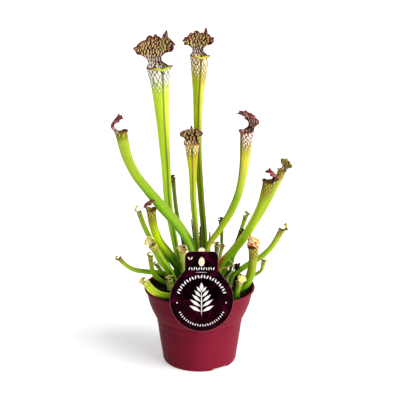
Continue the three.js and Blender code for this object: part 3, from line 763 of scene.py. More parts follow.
@dataclass(frozen=True)
class PotFinish:
    """Moulded burgundy plastic: satin, with painted shade on its left side, scuffs and a painted highlight on
    its rim, ledge and sole, and peat dust and painted shade inside its rim.

    The pairs say where a share goes from 0 to 1, in millimetres along x, up or out from the axis.
    """

    base: Colour = (124, 26, 46)
    deep: Colour = (88, 9, 26)
    # Lighter colour of scuffs and of the painted highlight on the rim's edge, the ledge and the sole.
    scuff_and_highlight: Colour = (162, 58, 76)
    # Near-black of peat dust and of painted shade inside the rim.
    dust_and_shade: Colour = (30, 17, 14)
    # Painted shade: x where the pot's left side is darkest, and where that shade ends towards the right.
    painted_shade_x: Pair = (-48.0, 14.0)
    rim_edge: Pair = (81.8, 83.4)
    ledge_radius: float = 48.2
    ledge_foot: Pair = (51.6, 52.4)
    ledge_top: Pair = (54.5, 53.0)
    sole: Pair = (2.6, 1.2)
    wall_level: float = 73.0
    wall_slope: float = 0.18
    wall_radius: Pair = (55.4, 55.8)
    shade_dust_foot: Pair = (68.0, 72.0)
    shade_dust_top: Pair = (83.4, 81.0)

    def material(self) -> bpy.types.Material:
        """Build the material.

        Returns:
            The pot's material.
        """
        recipe = Recipe("burgundy_pot_plastic")
        x, y, z = recipe.split(recipe.here())
        radius = (x * x + y * y) ** 0.5
        cloud = recipe.noise(recipe.here(), 0.03, 4.0, 0.55)
        grain = recipe.noise(recipe.here(), 1.6, 3.0, 0.6)
        drawn = recipe.noise(recipe.here((0.5, 0.5, 0.03)), 0.5, 3.0, 0.5)
        # Painted shade: the share falls towards the left, so the left side turns deep and the right stays
        # lighter.
        painted_side_shade = x.step(*self.painted_shade_x) * 0.8 - 0.5
        colour = recipe.blend(cloud * 0.7 + drawn * 0.3 + painted_side_shade, self.deep, self.base)

        # Scuffs and painted highlight: lighter on the rim's top edge, the ledge's top and the sole, broken up
        # by the grain.
        ledge = (radius - self.ledge_radius).step(0.0, 0.6)
        ledge = ledge * z.step(*self.ledge_top) * z.step(*self.ledge_foot)
        wear_and_highlight = (z.step(*self.rim_edge) + ledge + z.step(*self.sole) * 0.5) * grain.step(0.42, 0.66)
        colour = recipe.blend(wear_and_highlight * 0.55, colour, self.scuff_and_highlight)

        # Peat dust and painted shade: the inside wall above the mix turns near black, in blotches.
        within = 1 - (radius - (z - self.wall_level) * self.wall_slope).step(*self.wall_radius)
        within = within * z.step(*self.shade_dust_foot) * z.step(*self.shade_dust_top)
        dust_shade_mask = within * (grain * 0.7 + cloud * 0.6).step(0.35, 0.55)
        colour = recipe.blend(dust_shade_mask * 0.95, colour, self.dust_and_shade)
        scratch = recipe.noise(recipe.here((0.25, 0.25, 2.2)), 0.5, 2.0, 0.5)
        return recipe.finish(
            Base_Color=colour,
            Roughness=0.4 + cloud * 0.12 + wear_and_highlight * 0.2 + dust_shade_mask * 0.3,
            Specular_IOR_Level=0.035,
            Normal=recipe.bump(grain * 0.5 + scratch * 0.5, 0.00022, 0.5),
        )


@dataclass(frozen=True)
class PeatFinish:
    """Damp peat: near-black brown with paler crumbs."""

    name: str = "damp_peat"
    dark: Colour = (12, 8, 6)
    light: Colour = (40, 25, 18)
    crumb: Colour = (96, 68, 46)

    def material(self) -> bpy.types.Material:
        """Build the material.

        Returns:
            The peat's material.
        """
        recipe = Recipe(self.name)
        grain = recipe.noise(recipe.here(), 0.55, 5.0, 0.65)
        cell = recipe.cells(0.42)
        tint, _, _ = recipe.split(cell.outputs["Color"])
        colour = recipe.blend(grain.step(0.42, 0.72), self.dark, self.light)
        colour = recipe.blend(tint.step(0.9, 0.97) * 0.8, colour, self.crumb)
        height = Shade(recipe, cell.outputs["Distance"]) * -0.6 + grain
        return recipe.finish(Base_Color=colour, Roughness=0.82 + grain * 0.15, Specular_IOR_Level=0.12,
                             Normal=recipe.bump(height, 0.0012, 0.9))


@dataclass(frozen=True)
class CardFinish:
    """Printed card: near-black burgundy with purple clouds, fine grain and a pale cut edge."""

    dark: Colour = (10, 2, 4)
    deep: Colour = (32, 4, 13)
    cloud: Colour = (80, 7, 40)
    edge: Colour = (146, 112, 118)

    def material(self) -> bpy.types.Material:
        """Build the material.

        Returns:
            The card's material.
        """
        recipe = Recipe("printed_card")
        _, cut, _ = recipe.split(recipe.uv("cut"))
        cloud = recipe.noise(recipe.here(), 0.11, 5.0, 0.65)
        spread = recipe.noise(recipe.here((1.0, 1.0, 1.3)), 0.16, 4.0, 0.65)
        grain = recipe.noise(recipe.here(), 1.3, 4.0, 0.7)
        colour = recipe.blend((spread * 0.6 + grain * 0.5).step(0.42, 0.68), self.dark, self.deep)
        colour = recipe.blend(cloud.step(0.5, 0.7) * grain.step(0.35, 0.6) * 0.85, colour, self.cloud)
        colour = recipe.blend(cut, colour, self.edge)
        return recipe.finish(Base_Color=colour, Roughness=0.55 + grain * 0.14, Specular_IOR_Level=0.0,
                             Normal=recipe.bump(grain, 0.0001, 0.5))


@dataclass(frozen=True)
class PaleFinish:
    """Pale plastic or ink with a little dirt."""

    name: str
    light: Colour
    dull: Colour
    rough: float

    def material(self) -> bpy.types.Material:
        """Build the material.

        Returns:
            The plastic's or the ink's material.
        """
        recipe = Recipe(self.name)
        cloud = recipe.noise(recipe.here(), 0.12, 4.0, 0.6)
        grain = recipe.noise(recipe.here((1.0, 1.0, 0.3)), 1.1, 3.0, 0.6)
        colour = recipe.blend((cloud * 0.6 + grain * 0.6).step(0.45, 0.85), self.light, self.dull)
        return recipe.finish(Base_Color=colour, Roughness=self.rough + cloud * 0.1,
                             Normal=recipe.bump(grain, 0.00012, 0.5))


class Skin(Enum):
    """Which skin a pitcher wears."""

    WINDOWED = LeafFinish("windowed_leaf", warm_share=0.6)
    WINDOWED_WARM = LeafFinish(
        "windowed_warm_leaf", foot=(102, 130, 2), middle=(172, 196, 28), top=(206, 208, 64), foot_end=0.44,
        tube_vein=(128, 68, 40), window=(230, 222, 184), window_reach=4.0, vein_reach=3.6,
        lip=(206, 204, 56), lip_ends=(150, 66, 52), seam=(112, 92, 30), wing_shade=(84, 84, 18), warm_share=0.9)
    MIDDLE = LeafFinish(
        "middle_leaf", foot=(90, 138, 18), middle=(156, 190, 8), top=(192, 192, 32), warm=(190, 174, 30),
        window=(236, 226, 160), window_reach=2.3, tube_vein=(120, 58, 44), vein_reach=2.4,
        neck=(218, 200, 140), hood=(226, 208, 140), lip=(190, 166, 62), lip_ends=(138, 66, 46),
        warm_share=0.8)
    MAROON_RIBBON = LeafFinish(
        "maroon_hooded_leaf", foot=(120, 164, 36), middle=(118, 164, 24), top=(162, 176, 50), foot_end=0.2,
        window=(190, 198, 78), window_reach=1.2, tube_vein=(104, 84, 34), vein_reach=1.8, trace=0.25,
        hood=(196, 122, 112), hood_vein=(98, 30, 40), edge=(122, 38, 52), vein_width=0.18,
        lip=(120, 44, 40), lip_ends=(104, 30, 38), seam=(150, 170, 60), wing_shade=(54, 84, 14))
    MAROON_WINDOWED = LeafFinish(
        "maroon_hooded_windowed_leaf", foot=(162, 174, 26), middle=(122, 162, 10), top=(206, 198, 66),
        foot_end=0.3, window=(240, 230, 214), window_reach=5.0, tube_vein=(112, 60, 42), vein_reach=4.2,
        trace=0.6, neck=(224, 200, 186), hood=(222, 190, 170), hood_vein=(96, 26, 36), edge=(118, 34, 48),
        vein_width=0.14, hood_width=0.18, lip=(132, 48, 44), lip_ends=(112, 34, 42), seam=(112, 132, 40))
    DARK_MOUTH = LeafFinish(
        "dark_mouthed_leaf", foot=(60, 102, 6), middle=(184, 214, 12), top=(146, 154, 24), foot_end=0.34,
        window=(176, 180, 58), window_reach=4.6, tube_vein=(112, 88, 30), vein_reach=4.2, trace=0.4,
        hood=(196, 124, 104), hood_vein=(100, 30, 38), edge=(126, 44, 52), vein_width=0.18,
        lip=(120, 62, 44), lip_ends=(98, 36, 38), seam=(140, 160, 50), seam_share=0.6, speckle=0.35)
    RED_RIBBED = replace(
        DARK_MOUTH, name="red_ribbed_leaf", foot=(96, 140, 14), middle=(144, 188, 8), foot_end=0.08,
        root=(186, 30, 26), seam_share=0.9)
    PINK_NET = LeafFinish(
        "pink_netted_leaf", foot=(84, 142, 10), middle=(134, 174, 18), top=(144, 146, 34),
        window=(186, 190, 78), window_reach=2.6, tube_vein=(112, 62, 38), vein_reach=2.8,
        neck=(190, 184, 84), hood=(228, 220, 142), hood_vein=(172, 88, 84), edge=(160, 44, 62),
        hood_width=0.09, lip=(170, 130, 70), lip_ends=(150, 60, 60), seam=(150, 170, 60), seam_share=0.5,
        speckle=0.4)
    CREAM = LeafFinish(
        "cream_hooded_leaf", foot=(52, 96, 6), middle=(124, 172, 22), top=(162, 176, 40),
        window=(196, 200, 90), window_reach=2.0, tube_vein=(96, 84, 40), vein_reach=2.4,
        hood=(236, 232, 140), hood_vein=(190, 182, 84), edge=(222, 212, 118), hood_width=0.07,
        lip=(206, 206, 84), lip_ends=(170, 140, 62), seam=(150, 170, 60), seam_share=0.4, speckle=0.3)
    LIME = LeafFinish(
        "lime_tipped_leaf", foot=(78, 130, 10), middle=(160, 200, 22), top=(206, 222, 56),
        window=(222, 230, 110), window_reach=1.6, tube_vein=(150, 150, 50), vein_reach=2.0,
        hood=(232, 232, 112), hood_vein=(190, 190, 70), edge=(222, 206, 96), hood_width=0.07,
        lip=(214, 222, 84), lip_ends=(176, 156, 60), seam=(160, 190, 60), seam_share=0.4)
    ORANGE = LeafFinish(
        "orange_lipped_leaf", foot=(104, 150, 34), middle=(186, 206, 80), top=(212, 216, 104),
        window=(216, 200, 112), window_reach=1.0, tube_vein=(170, 140, 66), vein_reach=1.2,
        hood=(244, 234, 168), hood_vein=(216, 176, 104), edge=(216, 156, 92), hood_width=0.05,
        lip=(198, 144, 84), lip_ends=(204, 156, 100), seam=(190, 190, 90), seam_share=0.4)
    DARK = LeafFinish(
        "dark_back_leaf", foot=(44, 82, 12), middle=(84, 124, 24), top=(104, 112, 36),
        window=(130, 126, 56), window_reach=2.0, tube_vein=(84, 44, 32), vein_reach=2.6,
        hood=(150, 124, 74), hood_vein=(84, 36, 34), edge=(96, 44, 40), vein_width=0.16,
        lip=(110, 60, 40), lip_ends=(84, 36, 36), seam=(110, 110, 46), seam_share=0.3, speckle=0.5)
    OLIVE = LeafFinish(
        "olive_hooded_leaf", foot=(76, 130, 12), middle=(144, 186, 28), top=(170, 184, 48),
        window=(190, 184, 80), window_reach=2.6, tube_vein=(110, 76, 40), vein_reach=3.0,
        hood=(204, 202, 104), hood_vein=(114, 86, 44), edge=(130, 92, 48), vein_width=0.13,
        lip=(150, 104, 54), lip_ends=(118, 70, 44), seam=(150, 160, 60), seam_share=0.4, speckle=0.3)
    TAN = replace(
        OLIVE, name="tan_hooded_leaf", middle=(130, 180, 20), top=(164, 190, 42), tube_vein=(124, 112, 44),
        hood=(206, 200, 96), hood_vein=(150, 132, 58), edge=(150, 120, 56), lip=(160, 140, 56),
        lip_ends=(146, 112, 56))


# ---- Pitchers ----

HOOD_ARC = math.radians(80)  # half of the mouth's edge that the hood rises from
LIP_FROM = HOOD_ARC - 0.25  # angles from the back of the mouth where the lip starts and where it is full
LIP_FULL = HOOD_ARC + 0.55
LIP_CURL = 0.05  # the lip's radius: this share of the mouth's, and this much more
LIP_LEAST = 0.3
LEAST_BORE = 0.2  # of a hollow, where the wall would close it
TIP_HALF = 0.4  # half thickness of the wing at its edge and at its root
ROOT_HALF = 0.6
PLAIN = -1.0  # stands for that in a column beside the wing
THIN_TUBE = 2.0  # tubes of a smaller radius have a thinner wing
BESIDE_WING = 0.3  # angle between the wing and the first column beside it
WING_SKEW = 0.65  # below 1 it is highest nearer to the foot
MOUTH_RISE = 0.1  # rise of the mouth's back and dip of its lip's front, in mouth radii, and the dip's angle
SPOUT = 0.12
SPOUT_ANGLE = 0.3
NET_WIDE = 5.0  # cells of the net: their width and length on a tube whose mouth has this radius
NET_LONG = 7.5
NET_RADIUS = 12.0
NECK_WIDE = 2.1  # their width on a hood's neck and fan, and their length there
FAN_WIDE = 3.0
FAN_LONG = 10.4
NET_APART = 40.0  # keeps a hood's cells apart from its tube's

# Middle line of a hood: share, reach forwards, height, half width and curl, in mouth radii.
HOOD_LINE = (
    (0.0, -1.0, 0.0, 0.98, 0.82),
    (0.2, -1.12, 0.42, 0.56, 0.34),
    (0.33, -1.32, 0.74, 0.64, 0.25),
    (0.46, -1.45, 1.1, 1.08, 0.25),
    (0.6, -1.36, 1.5, 1.42, 0.2),
    (0.8, -0.75, 2.08, 1.6, 0.1),
    (1.0, 0.0, 2.48, 1.5, 0.05),
)
HOOD_ROOT = 1.2  # how far the hood goes down into the tube's wall, in millimetres
HOOD_LONG = 3.2  # length of its middle line, and half width of its neck, in mouth radii
NECK_HALF = 0.56
ROOT_SHARE = 0.2  # share of its height over which it leaves the mouth's round
BLADE_FROM = (0.38, 0.62)  # shares of its height where the neck turns into the blade, for shape and net
FAN_OPENS = (0.3, 0.8)
HOOD_POINT = 0.4  # height of its point and depth of the notch on each side of it, and where and how wide
HOOD_NOTCH = 0.24
NOTCH_ACROSS = 0.32
LOBE_WIDTH = 0.14
APEX_WIDTH = 0.08
HOOD_DROOP = 0.5  # fall of its corners below the middle of its edge
HOOD_SAG = 0.64  # share of that fall that the sides below the edge take part in
HOOD_TAPER = 0.14  # how much narrower the edge is than the widest part
HOOD_RUFFLE = 0.2  # height of the large waves, their number, the middle they run round, and their lift
RUFFLES = 5.6
RUFFLE_MIDDLE = 0.3
RUFFLE_SPREAD = 1.5
RUFFLE_LIFT = 0.6
TOP_WAY = 1.55  # way along the hood's edge, in mouth radii: across its top, and down its sides
SIDE_WAY = 2.2
LOBE_RATE = 11.0  # turns of the small lobes along that way
LOBE_DEPTH = 0.42
FRILL = 0.14  # height of the small lobes' curls, and of the crimps on them
CRIMP = 0.035
FRAYED_RADIUS = 10.0  # radius of the mouth from which on these have their full size

# Rolled lip: distance out from the wall's top edge and height above it, in lip radii.
LIP_ROLL = ((0.9, 0.1), (1.7, 0.5), (2.0, 1.2), (1.7, 1.9), (0.9, 2.3), (0.0, 2.2), (-0.6, 1.6))


def spline(points: Sequence[Vector], share: float) -> Vector:
    """Point on the centripetal curve through the points.

    Args:
        points: what the curve goes through.
        share: 0 at the first point and 1 at the last.

    Returns:
        The point on the curve.
    """
    place = share * (len(points) - 1)
    index = min(int(place), len(points) - 2)
    t = place - index
    a, b = points[index], points[index + 1]
    before = points[index - 1] if index > 0 else 2 * a - b
    after = points[index + 2] if index + 2 < len(points) else 2 * b - a
    d0, d1, d2 = ((q - p).length ** 0.5 for p, q in ((before, a), (a, b), (b, after)))
    d1 = d1 if d1 > 1e-4 else 1.0
    d0, d2 = (d if d > 1e-4 else d1 for d in (d0, d2))
    out = ((a - before) / d0 - (b - before) / (d0 + d1) + (b - a) / d1) * d1
    into = ((b - a) / d1 - (after - a) / (d1 + d2) + (after - b) / d2) * d1
    return a + out * t + (3 * (b - a) - 2 * out - into) * t ** 2 + (2 * (a - b) + out + into) * t ** 3


def heading(points: Sequence[Vector], share: float, reach: float = 1e-3) -> Vector:
    """Direction of the curve at a share of its way, looking a small share to both sides, of length 1."""
    low, high = max(0.0, share - reach), min(1.0, share + reach)
    return (spline(points, high) - spline(points, low)).normalized()


def frontness(angle: float) -> float:
    """1 round the front of a mouth, falling to 0 where the hood rises; the wing's angle is 0."""
    from_back = abs(abs(math.remainder(angle, TURN)) - math.pi)
    return smoothstep(LIP_FROM, LIP_FULL, from_back)


@dataclass(frozen=True)
class Fineness:
    """How finely a pitcher's tube and hood are divided, and how thick the tube's wall and the blade are."""

    around: int
    rings: int
    across: int
    up: int
    wall: float
    blade: float


class Size(Enum):
    """The three sizes of pitcher."""

    LARGE = Fineness(48, 64, 56, 40, 0.9, 0.75)
    MIDDLING = Fineness(36, 40, 36, 26, 0.8, 0.65)
    SMALL = Fineness(28, 30, 26, 20, 0.7, 0.55)


class Part(Enum):
    """What a row of a tube's skin belongs to."""

    POLE = auto()
    OUTSIDE = auto()
    LIP = auto()
    INSIDE = auto()


@dataclass(frozen=True)
class Hood:
    """What differs from a plain hood: shares of its height, width, waves and neck's width, where its waves
    start, how far it leans forwards, where across its point stands, and how far its corners fall.
    """

    tall: float = 1.0
    wide: float = 1.0
    wave: float = 1.0
    phase: float = 0.0
    lean: float = 0.0
    point: float = 0.0
    droop: float = HOOD_DROOP
    neck: float = 1.0


@dataclass(frozen=True)
class Ring:
    """One ring of a tube: its directions, its share of the way up, and its way to the mouth, below 0."""

    at: Vector
    forward: Vector
    side: Vector
    along: Vector
    radius: float
    share: float
    travel: float

    def point(self, ahead: float, across: float, lift: float = 0.0) -> Vector:
        """A point given ahead of, beside and above the ring's middle."""
        return self.at + self.forward * ahead + self.side * across + self.along * lift


@dataclass
class Pitcher:
    """One pitcher leaf: winged hollow tube, rolled lip and ruffled hood.

    The foot is its place and radius. It faces the way its wing points. The wing is the wing's height, and the
    cup how far down the tube is hollow. The tube goes through points with a radius each, up to the mouth.
    """

    name: str
    size: Size
    skin: Skin
    foot: Triple
    faces: Triple
    wing: float
    cup: float
    tube: tuple[tuple[float, ...], ...]
    hood: Hood = Hood()
    rings: list[Ring] = field(default_factory=list)

    def station(self, at: Vector, along: Vector, radius: float, share: float, travel: float) -> Ring:
        """A ring with its forward and sideways directions worked out.

        Args:
            at: its middle.
            along: direction of the tube.
            radius: its radius.
            share: share of the way up.
            travel: its way to the mouth.

        Returns:
            The ring.
        """
        forward = Vector(self.faces)
        forward = (forward - along * forward.dot(along)).normalized()
        return Ring(at, forward, along.cross(forward), along, radius, share, travel)

    def lay_rings(self) -> None:
        """Work out the rings from the foot to the mouth."""
        x, y, radius = self.foot
        through = ((x, y, MIX_LEVEL + COLLAR, radius), *self.tube)
        line = [Vector(p[:3]) for p in through]
        girth = [Vector((p[3], 0.0, 0.0)) for p in through]
        count = self.size.value.rings
        spots = [(Vector((x, y, MIX_LEVEL - FOOT_DEPTH)), UP, radius, 0.0)]
        for i in range(count + 1):
            share = i / count
            along = UP if i == 0 else heading(line, share)
            spots.append((spline(line, share), along, spline(girth, share).x, share))
        travel = [0.0]
        for (a, *_), (b, *_) in zip(spots, spots[1:]):
            travel.append(travel[-1] + (b - a).length)
        whole = travel[-1]
        self.rings = [self.station(*spot, way - whole) for spot, way in zip(spots, travel)]

    def columns(self) -> list[Triple]:
        """Columns round the tube, from one side of the wing's edge to the other.

        Returns:
            For each its angle, the wing's half thickness or PLAIN, and its share of the wing's height.
        """
        around = self.size.value.around
        wing = ((0.0, 1.0), (TIP_HALF, 0.94), (ROOT_HALF, 0.3), (1.5 * ROOT_HALF, 0.0))
        angles = [lerp(BESIDE_WING, TURN - BESIDE_WING, j / (around - 1)) for j in range(around)]
        return [
            *((0.0, half, height) for half, height in wing),
            *((angle, PLAIN, 0.0) for angle in angles),
            *((TURN, -half, height) for half, height in reversed(wing)),
        ]

    def ring_point(self, ring: Ring, column: Triple, radius: float, wing: float,
                   lift: float = 0.0) -> Vector:
        """The point of a column on a ring.

        Args:
            ring: the ring.
            column: its entry in columns().
            radius: the ring's radius there.
            wing: the wing's height there.
            lift: distance along the tube.

        Returns:
            The point, in millimetres.
        """
        angle, half, height = column
        if half == PLAIN:
            return ring.point(radius * math.cos(angle), radius * math.sin(angle), lift)
        across = half * min(1.0, ring.radius / THIN_TUBE)
        return ring.point(math.sqrt(max(0.0, radius ** 2 - across ** 2)) + wing * height, across, lift)

    def mouth_rise(self, angle: float) -> float:
        """Height of the mouth's edge at an angle from the front."""
        return -MOUTH_RISE * self.rings[-1].radius * math.cos(angle)

    def tube_sheet(self) -> Piece:
        """The tube's outside, its lip and the inside of its hollow, as one closed skin.

        Returns:
            The tube.
        """
        columns = self.columns()
        turned = [math.remainder(angle, TURN) for angle, _, _ in columns]
        fronts = [frontness(angle) for angle, _, _ in columns]
        mouth = self.rings[-1]
        wall = self.size.value.wall
        curl = LIP_CURL * mouth.radius + LIP_LEAST
        finer = (mouth.radius / NET_RADIUS) ** 0.5
        inner = [ring for ring in reversed(self.rings) if ring.travel > -self.cup]
        rows = [
            (Part.POLE, self.rings[0]),
            *((Part.OUTSIDE, ring) for ring in self.rings),
            *((Part.LIP, roll) for roll in LIP_ROLL),
            *((Part.INSIDE, ring) for ring in inner),
            (Part.POLE, inner[-1]),
        ]
        travels = [0.0 if part is Part.LIP else what.travel for part, what in rows]
        shares = [1.0 if part is Part.LIP else what.share for part, what in rows]

        def place(i: int, j: int) -> Vector:
            """Point of the skin.

            Args:
                i: the column.
                j: the row.

            Returns:
                The point, in millimetres.
            """
            part, what = rows[j]
            column = columns[i]
            lift = self.mouth_rise(column[0]) if what is mouth or part is Part.LIP else 0.0
            if part is Part.POLE:
                return what.at.copy()
            if part is Part.OUTSIDE:
                fin = self.wing * math.sin(math.pi * what.share ** WING_SKEW) ** 2
                return self.ring_point(what, column, what.radius, fin, lift)
            if part is Part.INSIDE:
                return self.ring_point(what, column, max(LEAST_BORE, what.radius - wall), 0.0, lift)
            spout = SPOUT * mouth.radius * math.exp(-((turned[i] / SPOUT_ANGLE) ** 2))
            share = (LIP_ROLL.index(what) + 1) / (len(LIP_ROLL) + 1)
            out = lerp(-wall * share, what[0] * curl, fronts[i])
            lift += fronts[i] * (what[1] * curl - spout)
            return self.ring_point(mouth, column, mouth.radius + out, 0.0, lift)

        def net(i: int, j: int) -> Pair:
            """Place in the net of veins, in cells."""
            return columns[i][0] * mouth.radius / (NET_WIDE * finer), travels[j] / (NET_LONG * finer)

        def deep(i: int, j: int) -> Pair:
            """Depth below the mouth in mouth radii, and turn from the wing, from -1 to 1."""
            return -travels[j] / mouth.radius, turned[i] / math.pi

        def run(i: int, j: int) -> Pair:
            """Share of the way to the mouth, and of the wing's height."""
            return shares[j], columns[i][2] if rows[j][0] is Part.OUTSIDE else 0.0

        def rim(i: int, j: int) -> Pair:
            """Whether it is the lip, and how near to the lip's ends."""
            return fronts[i] if rows[j][0] is Part.LIP else 0.0, abs(turned[i]) / (math.pi - HOOD_ARC)

        sheet = Sheet(f"{self.name}_tube", len(columns) - 1, len(rows) - 1)
        return sheet.build(place, {"net": net, "run": run, "rim": rim, "deep": deep})

    def hood_point(self, share: float, across: float) -> Vector:
        """A point on the middle of the hood's blade.

        Args:
            share: 0 at the mouth and 1 at the hood's edge.
            across: -1 to 1 from side to side.

        Returns:
            The point, in millimetres.
        """
        mouth, hood = self.rings[-1], self.hood
        middle = mouth.radius - self.size.value.wall / 2
        around = across * HOOD_ARC
        rise = MOUTH_RISE * mouth.radius * math.cos(around)
        on_mouth = Vector((-math.cos(around) * middle, -math.sin(around) * middle, rise))

        upper = next(i for i in range(1, len(HOOD_LINE)) if HOOD_LINE[i][0] >= share - 1e-9)
        low, high = HOOD_LINE[upper - 1], HOOD_LINE[upper]
        part = (share - low[0]) / (high[0] - low[0])
        reach, height, half, curl = (lerp(a, b, part) for a, b in zip(low[1:], high[1:]))

        blade = smoothstep(*BLADE_FROM, share)
        margin = max(abs(across), smoothstep(0.5, 1.0, share)) ** 2
        angle = math.atan2(RUFFLE_SPREAD * across, share - RUFFLE_MIDDLE)
        beside = abs(across - hood.point)
        lobes = HOOD_POINT * math.exp(-((beside / APEX_WIDTH) ** 2)) - hood.droop * across ** 4
        lobes -= HOOD_NOTCH * math.exp(-(((beside - NOTCH_ACROSS) / LOBE_WIDTH) ** 2))
        ruffle = HOOD_RUFFLE * hood.wave * blade * margin * math.sin(RUFFLES * angle + hood.phase)
        lift = blade * (RUFFLE_LIFT * ruffle * abs(across) - HOOD_SAG * hood.droop * abs(across) ** 3)
        breadth = lerp(hood.neck, hood.wide, blade) * (1 - HOOD_TAPER * smoothstep(0.75, 1.0, share))

        way = TOP_WAY * across + SIDE_WAY * across ** 3 * (1 - share)
        turn = LOBE_RATE * (way + 0.2 * math.sin(2.1 * way + hood.phase)) + 2 * hood.phase
        fray = blade * min(1.0, mouth.radius / FRAYED_RADIUS)
        small = LOBE_DEPTH * fray * (abs(math.sin(turn / 2)) ** 0.7 - 0.6)
        curls = fray * margin ** 2 * (FRILL * math.sin(turn) + CRIMP * math.sin(3.1 * turn))
        wide = half * breadth + across ** 6 * small
        on_blade = mouth.radius * Vector((
            reach + hood.lean * share ** 2 + curl * across ** 2 + ruffle + hood.wave * curls,
            -across * wide,
            height * hood.tall + share ** 6 * (lobes + small) + lift,
        ))
        return mouth.point(*on_mouth.lerp(on_blade, smoothstep(0.0, ROOT_SHARE, share)))

    def hood_sheet(self) -> Piece:
        """The hood, with its thickness.

        Returns:
            The hood.
        """
        fine, mouth = self.size.value, self.rings[-1]
        radius = mouth.radius
        shares = [max(0, j - 1) / (fine.up - 1) for j in range(fine.up + 1)]
        sides = [2 * i / fine.across - 1 for i in range(fine.across + 1)]

        def place(i: int, j: int) -> Vector:
            """Point of a column and row; the first row goes down into the tube's wall."""
            point = self.hood_point(shares[j], sides[i])
            return point if j else point - mouth.along * HOOD_ROOT

        def net(i: int, j: int) -> Pair:
            """Place in the net of veins, in cells."""
            wide = radius * lerp(NECK_HALF / NECK_WIDE, TOP_WAY / FAN_WIDE, smoothstep(*FAN_OPENS, shares[j]))
            return NET_APART + sides[i] * wide, shares[j] * HOOD_LONG * radius / FAN_LONG

        def run(i: int, j: int) -> Pair:
            """Share of the way up, from 1 to 2, and nearness to the margin."""
            return 1 + shares[j], max(abs(sides[i]), shares[j])

        # A hood has no lip, and is all at the mouth and turned away from the wing.
        maps = {"net": net, "run": run, "rim": lambda i, j: (0.0, 0.0), "deep": lambda i, j: (0.0, 1.0)}
        piece = Sheet(f"{self.name}_hood", fine.across, fine.up).build(place, maps)
        Bench.apply(piece, "SOLIDIFY", thickness=fine.blade * MM, offset=0.0, use_quality_normals=True)
        return piece

    def build(self) -> None:
        """Build the leaf and hand it in for its solid."""
        self.lay_rings()
        piece = Bench.join([self.tube_sheet(), self.hood_sheet()])
        Bench.dress(piece, f"{self.name}_leaf", skin_material(self.skin), 60.0)
        Bench.hand_in(piece, self.name, "pitcher_leaf")


@cache
def skin_material(skin: Skin) -> bpy.types.Material:
    """The skin's material, which is made once."""
    return skin.value.material()


